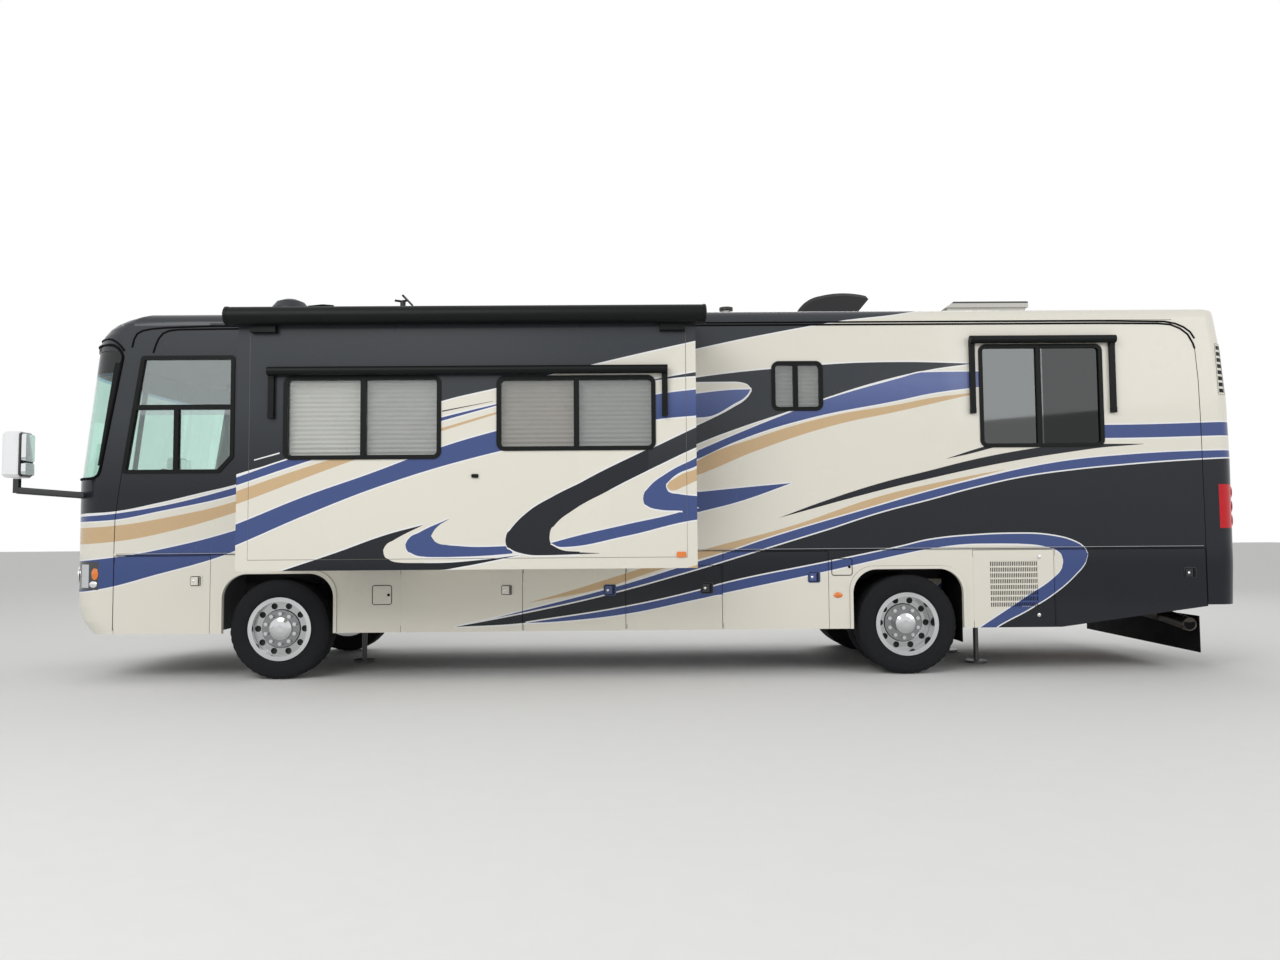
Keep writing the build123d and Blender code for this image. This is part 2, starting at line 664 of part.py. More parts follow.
slide_plane = side_plane(-SLIDE_FACE_Y, LEFT, SLIDE_LIP_T + SLIDE_WALL_T)
slide_cuts = [window_face(slide_plane, w) for w in WINDOWS if w[2] == "slide"]
with BuildPart() as slide_room:
    box_between(SLIDE_FACE_X, (SLIDE_FACE_Y, SLIDE_FACE_Y + SLIDE_LIP_T), SLIDE_FACE_Z)
    box_between(SLIDE_BOX_X, (SLIDE_FACE_Y, SLIDE_INNER_Y), SLIDE_BOX_Z)
    box_between((SLIDE_BOX_X[0] + SLIDE_WALL_T, SLIDE_BOX_X[1] - SLIDE_WALL_T),
                (SLIDE_FACE_Y + SLIDE_LIP_T + SLIDE_WALL_T, SLIDE_INNER_Y + 100),
                (SLIDE_BOX_Z[0] + SLIDE_WALL_T, SLIDE_BOX_Z[1] - SLIDE_WALL_T), Mode.SUBTRACT)
    for cut in slide_cuts:
        extrude(cut, amount=SLIDE_LIP_T + SLIDE_WALL_T, mode=Mode.SUBTRACT)
save(slide_room.part, "slide_room")


# Awnings: rollers on brackets

TOPPER_R = 79.0
TOPPER_Z = 3255.0
TOPPER_X = (-3625.0, 490.0)
TOPPER_BRACKET_X = ((-3440.0, -3220.0), (105.0, 325.0))
AWNING_R = 38.0


def roller(x, y, z, radius):
    with Locations(Plane((0, y, z), x_dir=(0, 1, 0), z_dir=(1, 0, 0))):
        with Locations((0, 0, (x[0] + x[1]) / 2)):
            Cylinder(radius, x[1] - x[0])


def window_awning(x, face_y, side, z, arm_bottom_z):
    """Roller above a window with an arm down each side, seated on the panel."""
    y = side * (face_y + AWNING_R + 12)
    roller(x, y, z, AWNING_R)
    for arm_x in (x[0], x[1] - 50):
        box_between((arm_x, arm_x + 50), sorted((side * (face_y + 40), side * (face_y + 5))), (arm_bottom_z, z))
        box_between((arm_x, arm_x + 50), sorted((side * (face_y + 45), side * face_y)), (z - 60, z))
        box_between((arm_x, arm_x + 50), sorted((side * (face_y + 45), side * face_y)),
                    (arm_bottom_z, arm_bottom_z + 50))


with BuildPart() as slide_awnings:
    roller(TOPPER_X, SLIDE_FACE_Y - TOPPER_R, TOPPER_Z, TOPPER_R)
    for x in TOPPER_BRACKET_X:
        box_between(x, (SLIDE_FACE_Y - 60, SLIDE_FACE_Y), (3120, TOPPER_Z - 40))
    window_awning((-3285.0, 170.0), -SLIDE_FACE_Y, LEFT, 2780.0, 2372.0)
save(slide_awnings.part, "slide_awnings")

PATIO_X = (-3650.0, 2000.0)
PATIO_Z = 3230.0
PATIO_R = 75.0
with BuildPart() as body_awnings:
    window_awning((3106.0, 4508.0), HALF_WIDTH, LEFT, 3190.0, 2481.0)
    roller(PATIO_X, HALF_WIDTH + PATIO_R + 15, PATIO_Z, PATIO_R)
    for arm_x in (PATIO_X[0], PATIO_X[1] - 70):
        box_between((arm_x, arm_x + 70), (HALF_WIDTH, HALF_WIDTH + 60), (1250, PATIO_Z))
save(body_awnings.part, "body_awnings")


# Chassis rails with cross members, floor and storage bays

with BuildPart() as chassis_frame:
    for side in (LEFT, RIGHT):
        box_between(RAIL_X, sorted((side * (RAIL_Y - RAIL_W / 2), side * (RAIL_Y + RAIL_W / 2))), RAIL_Z)
    for x in (-4800, -3900, -3030, -1800, -200, 1400, 3250):
        box_between((x - 50, x + 50), (-RAIL_Y + RAIL_W / 2, RAIL_Y - RAIL_W / 2), (RAIL_Z[0] + 40, RAIL_Z[1] - 40))
    box_between((5150, 5250), (-RAIL_Y + RAIL_W / 2, RAIL_Y - RAIL_W / 2), (RAIL_Z[0], RAIL_Z[1]))
    for side in (LEFT, RIGHT):
        box_between((5150, 5250), sorted((side * 380, side * 460)), (520, RAIL_Z[0]))
    box_between((5150, 5250), (-460, 460), (520, 600))
    box_between((5250, 5560), (-38, 38), (522, 598))
    box_between((5300, 5561), (-25.4, 25.4), (534.6, 585.4), Mode.SUBTRACT)
save(chassis_frame.part, "chassis_frame")

STAIR_X = (-4950.0, -4190.0)
STAIR_Y = 560.0
STAIR_T = 20.0
STAIR_OUTER_Y = HALF_WIDTH - SKIRT_T - 10
STAIR_Z = (480.0, 800.0)
with BuildPart() as cabin_floor:
    box_between((-5040, 5330), (-HALF_WIDTH + WALL_T, HALF_WIDTH - WALL_T), FLOOR_Z)
    box_between(STAIR_X, (STAIR_Y, HALF_WIDTH + 25), (1000, 1200), Mode.SUBTRACT)
    box_between((STAIR_X[0] - STAIR_T, STAIR_X[1] + STAIR_T), (STAIR_Y - STAIR_T, STAIR_OUTER_Y),
                (STAIR_Z[0], FLOOR_Z[0]))
    box_between(STAIR_X, (STAIR_Y, STAIR_OUTER_Y), (STAIR_Z[0] + STAIR_T, FLOOR_Z[0]), Mode.SUBTRACT)
    box_between((STAIR_X[0] - 1, STAIR_X[1] + 1), (STAIR_Y - 1, STAIR_Y + 290), (STAIR_Z[1] - STAIR_T, STAIR_Z[1]))
save(cabin_floor.part, "cabin_floor")

BAY_SEAMS_X = (-2348.0, -1185.0, -207.0, 710.0, 1723.0)
BAY_HALF_Y = HALF_WIDTH - SKIRT_T
with BuildPart() as basement:
    box_between((BAY_SEAMS_X[0] - 10, BAY_SEAMS_X[-1] + 10), (-BAY_HALF_Y, BAY_HALF_Y), BAY_FLOOR_Z)
    for x in BAY_SEAMS_X:
        box_between((x - BULKHEAD_T / 2, x + BULKHEAD_T / 2), (-BAY_HALF_Y, BAY_HALF_Y), (BAY_FLOOR_Z[0], RAIL_Z[0]))
save(basement.part, "basement")

WELL_PLATES_X = (FRONT_AXLE_X - WELL_HALF - 10, FRONT_AXLE_X + WELL_HALF, REAR_AXLE_X - 590, REAR_AXLE_X + 580)
with BuildPart() as wheel_wells:
    for x in WELL_PLATES_X:
        for side in (LEFT, RIGHT):
            box_between((x, x + 10), sorted((side * 480, side * BAY_HALF_Y)), (BAY_FLOOR_Z[0], FLOOR_Z[0]))
save(wheel_wells.part, "wheel_wells")

ENGINE_X = (4050.0, 5140.0)
with BuildPart() as engine_block:
    box_between(ENGINE_X, (-RAIL_Y + RAIL_W / 2, RAIL_Y - RAIL_W / 2), (560, 1085))
save(engine_block.part, "engine_block")


# Axles, air springs and steering knuckles

EYE_R = 45.0
EYE_Z = (TYRE_R - 90, TYRE_R + 90)
BEAM_Z = (TYRE_R - 45, TYRE_R + 45)
PIN_R = 20.0
with BuildPart() as front_axle:
    box_between((FRONT_AXLE_X - 45, FRONT_AXLE_X + 45), (-KINGPIN_Y, KINGPIN_Y), BEAM_Z)
    with Locations((FRONT_AXLE_X, -KINGPIN_Y, TYRE_R), (FRONT_AXLE_X, KINGPIN_Y, TYRE_R)):
        Cylinder(EYE_R, EYE_Z[1] - EYE_Z[0])
        Cylinder(PIN_R + SEAT_GAP, 400, mode=Mode.SUBTRACT)
save(front_axle.part, "front_axle")


def cross_cylinder(x, y, z, radius, mode=Mode.ADD):
    """Cylinder along Y between two values of y."""
    with Locations(Plane((x, (y[0] + y[1]) / 2, z), x_dir=(1, 0, 0), z_dir=(0, 1, 0))):
        Cylinder(radius, y[1] - y[0], mode=mode)


AXLE_TUBE_R = 75.0
DIFF_R = 185.0
DIFF_LENGTH = 260.0
with BuildPart() as rear_axle:
    cross_cylinder(REAR_AXLE_X, (540 - WHEEL_Y, WHEEL_Y - 540), TYRE_R, AXLE_TUBE_R)
    cross_cylinder(REAR_AXLE_X, (-SPINDLE_END_Y, SPINDLE_END_Y), TYRE_R, SPINDLE_R)
    with Locations(Plane((REAR_AXLE_X, 0, TYRE_R), x_dir=(0, 1, 0), z_dir=(1, 0, 0))):
        Cylinder(DIFF_R, DIFF_LENGTH)
        Cylinder(DIFF_R - 50, DIFF_LENGTH + 70)
    with Locations(Plane((REAR_AXLE_X + 150, 0, 540), x_dir=(0, 1, 0), z_dir=(1, 0, 0))):
        Cylinder(50, ENGINE_X[0] - REAR_AXLE_X - 150, align=(Align.CENTER, Align.CENTER, Align.MIN))
save(rear_axle.part, "rear_axle")

SPRING_R = 125.0
with BuildPart() as air_springs:
    for x, base_z in ((FRONT_AXLE_X, BEAM_Z[1]), (REAR_AXLE_X, TYRE_R + AXLE_TUBE_R)):
        for side in (LEFT, RIGHT):
            with Locations((x, side * RAIL_Y, (base_z + RAIL_Z[0]) / 2)):
                Cylinder(SPRING_R, RAIL_Z[0] - base_z)
save(air_springs.part, "air_springs")


def knuckle(side):
    y0, y1 = KINGPIN_Y - 60, KINGPIN_Y + 110
    with BuildPart() as piece:
        for z in ((EYE_Z[0] - 35 - SEAT_GAP, EYE_Z[0] - SEAT_GAP), (EYE_Z[1] + SEAT_GAP, EYE_Z[1] + 35 + SEAT_GAP)):
            box_between((FRONT_AXLE_X - 50, FRONT_AXLE_X + 50), sorted((side * y0, side * y1)), z)
        box_between((FRONT_AXLE_X - 50, FRONT_AXLE_X + 50), sorted((side * (KINGPIN_Y + 60), side * y1)),
                    (EYE_Z[0] - 35 - SEAT_GAP, EYE_Z[1] + 35 + SEAT_GAP))
        with Locations((FRONT_AXLE_X, side * KINGPIN_Y, TYRE_R)):
            Cylinder(PIN_R, EYE_Z[1] - EYE_Z[0] + 20)
        cross_cylinder(FRONT_AXLE_X, sorted((side * (y1 - 5), side * SPINDLE_END_Y)), TYRE_R, SPINDLE_R)
    return piece.part


save(knuckle(LEFT), "knuckle_left")
save(knuckle(RIGHT), "knuckle_right")


# Wheels: rims and tyres, turned about the axle line

HAND_HOLES = 10
HAND_HOLE_R = 30.0
HAND_CIRCLE_R = 222.0
COVER_R = 186.0
BARREL_R = RIM_R - 26
NUT_CIRCLE_R = 143.0
NUT_R = 19.0
NUT_H = 34.0
SPINDLE_BORE_Y = SPINDLE_END_Y + 6


def tyre(x, centre_y):
    """Tyre ring: bead, widest part of the sidewall, shoulder and tread edge, turned about the axle line."""
    half = TYRE_W / 2
    with BuildPart() as ring:
        with BuildSketch(Plane.YZ.offset(x)):
            with BuildLine():
                flank = [(half - 30, RIM_R), (half, 385), (half - 22, TYRE_R - 22), (half - 50, TYRE_R)]
                Polyline([(centre_y + w, r) for w, r in flank] + [(centre_y - w, r) for w, r in reversed(flank)],
                         close=True)
            make_face()
        revolve(axis=Axis((x, 0, 0), (0, 1, 0)))
    return ring.part.moved(Location((0, 0, TYRE_R)))


def rim(x, side, centre_y, face_offset, cap_r, cap_out):
    """Wheel turned from one profile: flanges, barrel, disc, raised hub cover and domed cap; then hand holes and nuts."""
    half = TYRE_W / 2 - 19
    flange_r = RIM_R + 14
    disc_y = centre_y + face_offset
    with BuildPart() as wheel:
        with BuildSketch(Plane.YZ.offset(x)):
            dome = [(cap_out - cap_r * drop, cap_r * out) for out, drop in DOME_PROFILE]
            Polygon((centre_y - half - 12, flange_r), (centre_y - half, flange_r), (centre_y - half, RIM_R),
                    (centre_y + half, RIM_R), (centre_y + half, flange_r), (centre_y + half + 12, flange_r),
                    (centre_y + half + 12, BARREL_R), (disc_y + 8, BARREL_R), (disc_y + 8, COVER_R),
                    (disc_y + 20, COVER_R - 8), (disc_y + 20, cap_r), *((disc_y + y, r) for y, r in dome),
                    (disc_y + cap_out, 0), (SPINDLE_BORE_Y, 0), (SPINDLE_BORE_Y, SPINDLE_R + SEAT_GAP),
                    (disc_y - 60, SPINDLE_R + SEAT_GAP), (disc_y - 60, 125), (disc_y - 8, 125),
                    (disc_y - 8, BARREL_R), (centre_y - half - 12, BARREL_R), align=None)
        revolve(axis=Axis((x, 0, 0), (0, 1, 0)))
        with Locations(Plane((x, disc_y, 0), x_dir=(1, 0, 0), z_dir=(0, 1, 0))):
            with PolarLocations(HAND_CIRCLE_R, HAND_HOLES):
                Cylinder(HAND_HOLE_R, 60, mode=Mode.SUBTRACT)
        with BuildSketch(Plane((x, disc_y + 19, 0), x_dir=(1, 0, 0), z_dir=(0, 1, 0))):
            with PolarLocations(NUT_CIRCLE_R, HAND_HOLES, start_angle=18):
                RegularPolygon(NUT_R, 6)
        extrude(amount=NUT_H)
    piece = wheel.part.moved(Location((0, 0, TYRE_R)))
    return piece if side == RIGHT else piece.mirror(Plane.XZ)


def inner_rim(x, side, centre_y):
    """Plain inner wheel of a twin pair, with its disc against the outer wheel's."""
    half = TYRE_W / 2 - 19
    flange_r = RIM_R + 14
    disc_y = centre_y + 70
    with BuildPart() as wheel:
        with BuildSketch(Plane.YZ.offset(x)):
            Polygon((centre_y - half - 12, flange_r), (centre_y - half, flange_r), (centre_y - half, RIM_R),
                    (centre_y + half, RIM_R), (centre_y + half, flange_r), (centre_y + half + 12, flange_r),
                    (centre_y + half + 12, BARREL_R), (disc_y + 8, BARREL_R), (disc_y + 8, SPINDLE_R + SEAT_GAP),
                    (disc_y - 8, SPINDLE_R + SEAT_GAP), (disc_y - 8, BARREL_R), (centre_y - half - 12, BARREL_R),
                    align=None)
        revolve(axis=Axis((x, 0, 0), (0, 1, 0)))
    piece = wheel.part.moved(Location((0, 0, TYRE_R)))
    return piece if side == RIGHT else piece.mirror(Plane.XZ)


for side, word in ((LEFT, "left"), (RIGHT, "right")):
    save(tyre(FRONT_AXLE_X, side * WHEEL_Y), f"tyre_front_{word}")
    save(rim(FRONT_AXLE_X, side, WHEEL_Y, 62.0, 105.0, 58.0), f"rim_front_{word}")
    with BuildPart() as twins:
        add(tyre(REAR_AXLE_X, side * WHEEL_Y))
        add(tyre(REAR_AXLE_X, side * (WHEEL_Y - TWIN_SPACING)))
    save(twins.part, f"tyres_rear_{word}")
    with BuildPart() as twin_rims:
        add(rim(REAR_AXLE_X, side, WHEEL_Y, -40.0, 95.0, 125.0))
        add(inner_rim(REAR_AXLE_X, side, WHEEL_Y - TWIN_SPACING))
    save(twin_rims.part, f"rims_rear_{word}")


# Levelling jacks, extended to 3 mm above the ground

JACKS = ((-3030.0, 0.0, RAIL_Z[0] + 40), (3395.0, -455.0, RAIL_Z[0]), (3395.0, 455.0, RAIL_Z[0]))
JACK_FOOT_Z = 3.0
with BuildPart() as levelling_jacks:
    for x, y, top_z in JACKS:
        with Locations((x, y, (400 + top_z) / 2)):
            Cylinder(45, top_z - 400)
        with Locations((x, y, 220)):
            Cylinder(26, 400)
        with Locations((x, y, JACK_FOOT_Z + 12)):
            Cylinder(110, 24)
save(levelling_jacks.part, "levelling_jacks")


# Flaps, exhaust, mirrors, roof fittings and cab

FLAP_T = 10.0
FLAP_X = REAR_AXLE_X + TYRE_R + 47
GUARD_X = TAIL_SEAM_X - 25
with BuildPart() as mud_flaps:
    for side in (LEFT, RIGHT):
        box_between((FLAP_X, FLAP_X + FLAP_T), sorted((side * (WHEEL_Y - 460), side * (HALF_WIDTH - 60))), (300, FLOOR_Z[0]))
    box_between((GUARD_X, GUARD_X + FLAP_T), (125 - HALF_WIDTH, HALF_WIDTH - 125), (172, 522))
save(mud_flaps.part, "mud_flaps")

with BuildPart() as exhaust:
    with BuildLine() as run:
        FilletPolyline((4700, -390, 640), (4700, -640, 640), (5215, -640, 500), (5215, 115 - HALF_WIDTH, 445), radius=90)
    with BuildSketch(Plane(run.line @ 0, z_dir=run.line % 0)):
        Circle(65)
    sweep()
save(exhaust.part, "exhaust")


MIRROR_X = (-5900.0, -5715.0)
MIRROR_Z = (1911.0, 2332.0)
MIRROR_W = 240.0
MIRROR_Y = HALF_WIDTH + 275
MIRROR_FOOT = (-5300.0, HALF_WIDTH - 215, 1750.0)


def mirror_unit(side):
    """Mirror head with rounded corners on a stalk, and the arm back to the nose."""
    head_y = sorted((side * (MIRROR_Y - MIRROR_W / 2), side * (MIRROR_Y + MIRROR_W / 2)))
    arm_x = sum(MIRROR_X) / 2
    with BuildPart() as unit:
        box_between(MIRROR_X, head_y, MIRROR_Z)
        fillet(unit.edges().filter_by(Axis.Z), 55)
        chamfer(unit.edges().group_by(Axis.Z)[-1], 26)
        chamfer(unit.edges().group_by(Axis.Z)[0], 26)
        box_between((arm_x - 25, arm_x + 25), sorted((side * (MIRROR_Y - 22), side * (MIRROR_Y + 22))),
                    (MIRROR_FOOT[2] + 20, MIRROR_Z[0] + 5))
        with BuildLine() as arm:
            Polyline((arm_x, side * MIRROR_Y, MIRROR_FOOT[2] + 45), (MIRROR_FOOT[0], side * MIRROR_FOOT[1], MIRROR_FOOT[2]))
        with BuildSketch(Plane(arm.line @ 0, z_dir=arm.line % 0)):
            RectangleRounded(62, 62, 14)
        sweep()
    return unit.part


with BuildPart() as mirrors:
    add(mirror_unit(LEFT))
    add(mirror_unit(RIGHT))
    add(nose_outer, mode=Mode.SUBTRACT)
save(mirrors.part, "mirrors")

AC_X = (1584.0, 2390.0)
AC_TOP_Z = 3905.0
AC_HALF_Y = 330.0
with BuildPart() as roof_air_conditioner:
    with BuildSketch(Plane.XZ):
        with BuildLine():
            nose_arc = ThreePointArc((AC_X[0], CROWN_Z), (AC_X[0] + 85, 3760), (AC_X[0] + 290, 3875))
            top_arc = ThreePointArc(nose_arc @ 1, (AC_X[0] + 540, AC_TOP_Z), (AC_X[1] - 20, AC_TOP_Z - 30))
            Polyline(top_arc @ 1, (AC_X[1], AC_TOP_Z - 75), (AC_X[1] - 190, CROWN_Z + 60), (AC_X[1] - 190, 3500),
                     (AC_X[0], 3500), nose_arc @ 0)
        make_face()
    extrude(amount=AC_HALF_Y, both=True)
    chamfer(roof_air_conditioner.edges().filter_by(GeomType.CIRCLE), 36)
    add(roof.part, mode=Mode.SUBTRACT)
    box_between((0, 4000), (-400, 400), (3000, 3500), Mode.SUBTRACT)
save(roof_air_conditioner.part, "roof_air_conditioner")

DISH_X = -3867.0
DISH_R = 205.0
DISH_TOP_Z = 3935.0
VENT_LID_X = (3240.0, 4075.0)
VENT_LID_TOP_Z = 3800.0
with BuildPart() as roof_fittings:
    with Locations((902, 0, 3650)):
        Cylinder(50, 330)
    with Locations((902, 0, 3806)):
        Cylinder(75, 30)
    box_between(VENT_LID_X, (-300, 300), (3520, VENT_LID_TOP_Z - 60))
    with BuildSketch(Plane.XZ):
        Polygon((VENT_LID_X[0] - 25, VENT_LID_TOP_Z - 62), (VENT_LID_X[0] + 60, VENT_LID_TOP_Z), (VENT_LID_X[1] + 20, VENT_LID_TOP_Z),
                (VENT_LID_X[1] + 25, VENT_LID_TOP_Z - 62), align=None)
    extrude(amount=325, both=True)
    with Locations((-2642, 0, 3700)):
        Cylinder(30, 420)
    with BuildSketch(Plane.XZ):
        dome = [(DISH_X + DISH_R * out, DISH_TOP_Z - 3 * DISH_R * drop) for out, drop in DOME_PROFILE]
        Polygon((DISH_X, 3520), (DISH_X + DISH_R, 3520), *dome, (DISH_X, DISH_TOP_Z), align=None)
    revolve(axis=Axis((DISH_X, 0, 0), (0, 0, 1)))
    add(roof.part, mode=Mode.SUBTRACT)
    box_between((-5000, 5000), (-500, 500), (3000, 3535), Mode.SUBTRACT)
save(roof_fittings.part, "roof_fittings")

with BuildPart() as dashboard:
    box_between((-5300, -4900), (175 - HALF_WIDTH, 450), (FLOOR_Z[1], 1880))
    fillet(dashboard.edges().filter_by(Axis.Y), 60)
save(dashboard.part, "dashboard")

with BuildPart() as ring_block:
    with BuildSketch(Plane.XZ):
        with Locations((220, 0)):
            RegularPolygon(17, 8)
    revolve(axis=Axis.Z)
wheel_ring = ring_block.part

with BuildPart() as steering_wheel:
    with Locations(Plane((-4720, -650, 1900), x_dir=(0, 1, 0), z_dir=(0.6, 0, 0.8))):
        add(wheel_ring)
        Cylinder(50, 40)
        Box(420, 30, 20)
        with Locations((0, 0, -150)):
            Cylinder(30, 300)
    add(dashboard.part, mode=Mode.SUBTRACT)
save(steering_wheel.part, "steering_wheel")


def cab_seat(y):
    """Pedestal, cushion, back with head rest and two arm rests."""
    with BuildPart() as seat:
        box_between((-4450, -3950), (y - 260, y + 260), (1500, 1640))
        fillet(seat.edges().filter_by(Axis.Y), 45)
        with BuildSketch(Plane.XZ.offset(-y)):
            Polygon((-4080, 1600), (-3950, 1600), (-3830, 2200), (-3830, 2380), (-3910, 2380), (-3960, 2200), align=None)
        extrude(amount=225, both=True)
        box_between((-4350, -4050), (y - 150, y + 150), (FLOOR_Z[1], 1520))
        for arm_y in (y - 290, y + 230):
            box_between((-4360, -3960), (arm_y, arm_y + 60), (1790, 1840))
            box_between((-4010, -3960), (arm_y, arm_y + 60), (1560, 1800))
    return seat.part


with BuildPart() as cab_seats:
    add(cab_seat(-650))
    add(cab_seat(500))
save(cab_seats.part, "cab_seats")
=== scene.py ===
"""Looks of the motorhome: paint with its swept stripes, glass, wheels, awnings and fittings.

Metres, in the frame of the CAD model: the nose points to -X, the driver's side to -Y, the ground is z = 0.
"""

import math

import bmesh
import bpy
from mathutils import Matrix, Quaternion, Vector
from mathutils.bvhtree import BVHTree


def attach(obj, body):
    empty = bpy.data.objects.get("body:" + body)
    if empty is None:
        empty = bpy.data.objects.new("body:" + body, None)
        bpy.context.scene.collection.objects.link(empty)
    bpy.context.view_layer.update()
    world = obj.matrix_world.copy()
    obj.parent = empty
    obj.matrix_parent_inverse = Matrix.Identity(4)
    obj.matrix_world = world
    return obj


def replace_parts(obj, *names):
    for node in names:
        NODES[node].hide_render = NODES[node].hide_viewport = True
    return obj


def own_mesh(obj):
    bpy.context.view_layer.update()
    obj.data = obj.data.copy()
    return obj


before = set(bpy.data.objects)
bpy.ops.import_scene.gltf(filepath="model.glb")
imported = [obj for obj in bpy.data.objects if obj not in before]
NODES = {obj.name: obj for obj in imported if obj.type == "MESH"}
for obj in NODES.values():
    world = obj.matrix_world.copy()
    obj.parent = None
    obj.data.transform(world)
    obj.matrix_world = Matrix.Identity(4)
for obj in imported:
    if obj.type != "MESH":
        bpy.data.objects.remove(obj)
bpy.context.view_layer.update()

# Camera: level view of the driver's side
CAMERA_PLACE = (-0.145, -10.425, 1.365)
CAMERA_YAW = math.radians(0.48)
CAMERA_PITCH = math.radians(3.13)
CAMERA_ROLL = math.radians(-0.43)
CAMERA_LENS = 27.0

# Coach: face of the side walls, face of the slide-out, how far its bands sit below the wall's, wheels
HALF_WIDTH = 1.275
SLIDE_FACE = 2.125
SLIDE_DROP = 0.08
SIDES = (-1, 1)
HANDS = ((-1, "left"), (1, "right"))
FRONT_AXLE_X = -3.5
REAR_AXLE_X = 2.473
TYRE_R = 0.475
WHEEL_Y = 1.1
TWIN_SPACING = 0.31

# Colours, linear
CREAM = (0.80, 0.77, 0.68)
TAN = (0.62, 0.44, 0.25)
BLUE = (0.050, 0.082, 0.235)
# Grey that the black bands turn to higher up: painted reflection of the sky
BLACK_SKY_REFLECTION = (0.032, 0.037, 0.044)
BLACK = (0.006, 0.008, 0.013)
WHITE = (0.86, 0.86, 0.86)


# Camera, light and floor

def set_camera():
    data = bpy.data.cameras.new("camera")
    data.lens = CAMERA_LENS
    data.sensor_width = 36.0
    camera = bpy.data.objects.new("camera", data)
    level = math.cos(CAMERA_PITCH)
    look = Vector((math.sin(CAMERA_YAW) * level, math.cos(CAMERA_YAW) * level, math.sin(CAMERA_PITCH)))
    camera.rotation_mode = "QUATERNION"
    camera.rotation_quaternion = look.to_track_quat("-Z", "Y") @ Quaternion((0, 0, 1), CAMERA_ROLL)
    camera.location = CAMERA_PLACE
    bpy.context.collection.objects.link(camera)
    bpy.context.scene.camera = camera


def area_light(name, place, target, size, power):
    data = bpy.data.lights.new(name, "AREA")
    data.shape = "RECTANGLE"
    data.size, data.size_y = size
    data.energy = power
    lamp = bpy.data.objects.new(name, data)
    lamp.location = place
    lamp.rotation_mode = "QUATERNION"
    lamp.rotation_quaternion = (Vector(target) - Vector(place)).to_track_quat("-Z", "Y")
    bpy.context.collection.objects.link(lamp)


def set_world(strength):
    """White to the eye and in mirrors, and as strong as given where it lights things."""
    world = bpy.data.worlds.new("sky")
    bpy.context.scene.world = world
    world.use_nodes = True
    tree = world.node_tree
    background = tree.nodes["Background"]
    background.inputs["Color"].default_value = (1, 1, 1, 1)
    rays = tree.nodes.new("ShaderNodeLightPath").outputs
    passed_on = maths(tree, "MAXIMUM", rays["Is Glossy Ray"], rays["Is Transmission Ray"])
    mixed = node(tree, "ShaderNodeMix", A=strength, B=1.0)
    tree.links.new(maths(tree, "MAXIMUM", rays["Is Camera Ray"], passed_on), mixed.inputs["Factor"])
    tree.links.new(mixed.outputs["Result"], background.inputs["Strength"])


# Materials

# Colour sockets of a mix node
MIX_UNDER, MIX_OVER, MIX_RESULT = 6, 7, 2
ROUGHNESS_VARY = 0.2
GLASS_IOR = 1.5
THREAD_HEIGHT = 0.0006


def new_material(name):
    """A material with its node tree and its main shader."""
    made = bpy.data.materials.new(name)
    made.use_nodes = True
    tree = made.node_tree
    return made, tree, tree.nodes["Principled BSDF"]


def adjust(made, values):
    """Set inputs of a node by name."""
    for key, value in values.items():
        made.inputs[key].default_value = value
    return made


def node(tree, kind, **inputs):
    return adjust(tree.nodes.new(kind), inputs)


def maths(tree, operation, *values):
    """Math node; each value is a number or a socket. Returns its result."""
    made = tree.nodes.new("ShaderNodeMath")
    made.operation = operation
    for i, value in enumerate(values):
        if isinstance(value, (int, float)):
            made.inputs[i].default_value = value
        else:
            tree.links.new(value, made.inputs[i])
    return made.outputs[0]


def product(tree, first, *others):
    """All the values multiplied; with masks, 1 where every one is 1."""
    for other in others:
        first = maths(tree, "MULTIPLY", first, other)
    return first


def ranged(tree, value, source=(0, 1), target=(0, 1)):
    """Map the range `source` onto `target`."""
    made = node(tree, "ShaderNodeMapRange")
    adjust(made, {"From Min": source[0], "From Max": source[1], "To Min": target[0], "To Max": target[1]})
    tree.links.new(value, made.inputs["Value"])
    return made.outputs["Result"]


def mix_colour(tree, factor, under, over):
    """Colour `over` laid on `under` by factor."""
    made = tree.nodes.new("ShaderNodeMix")
    made.data_type = "RGBA"
    tree.links.new(factor, made.inputs["Factor"])
    for key, value in ((MIX_UNDER, under), (MIX_OVER, over)):
        if isinstance(value, tuple):
            made.inputs[key].default_value = (*value, 1)
        else:
            tree.links.new(value, made.inputs[key])
    return made.outputs[MIX_RESULT]


def scaled(colour, share):
    return tuple(min(c * share, 1) for c in colour)


def object_place(tree):
    return tree.nodes.new("ShaderNodeTexCoord").outputs["Object"]


def axes(tree, vector):
    """x, y and z of a vector."""
    made = tree.nodes.new("ShaderNodeSeparateXYZ")
    tree.links.new(vector, made.inputs[0])
    return made.outputs


def noise(tree, scale, detail=3.0):
    made = node(tree, "ShaderNodeTexNoise", Scale=scale, Detail=detail)
    tree.links.new(object_place(tree), made.inputs["Vector"])
    return made.outputs["Fac"]


def add_bump(tree, shader, height, distance, strength=1.0):
    bump = node(tree, "ShaderNodeBump", Strength=strength, Distance=distance)
    tree.links.new(height, bump.inputs["Height"])
    tree.links.new(bump.outputs["Normal"], shader.inputs["Normal"])


def add_roughness(tree, shader, cloud, roughness):
    """Roughness that varies with the cloud."""
    low, high = roughness * (1 - ROUGHNESS_VARY), roughness * (1 + ROUGHNESS_VARY)
    tree.links.new(ranged(tree, cloud, target=(low, min(high, 1))), shader.inputs["Roughness"])


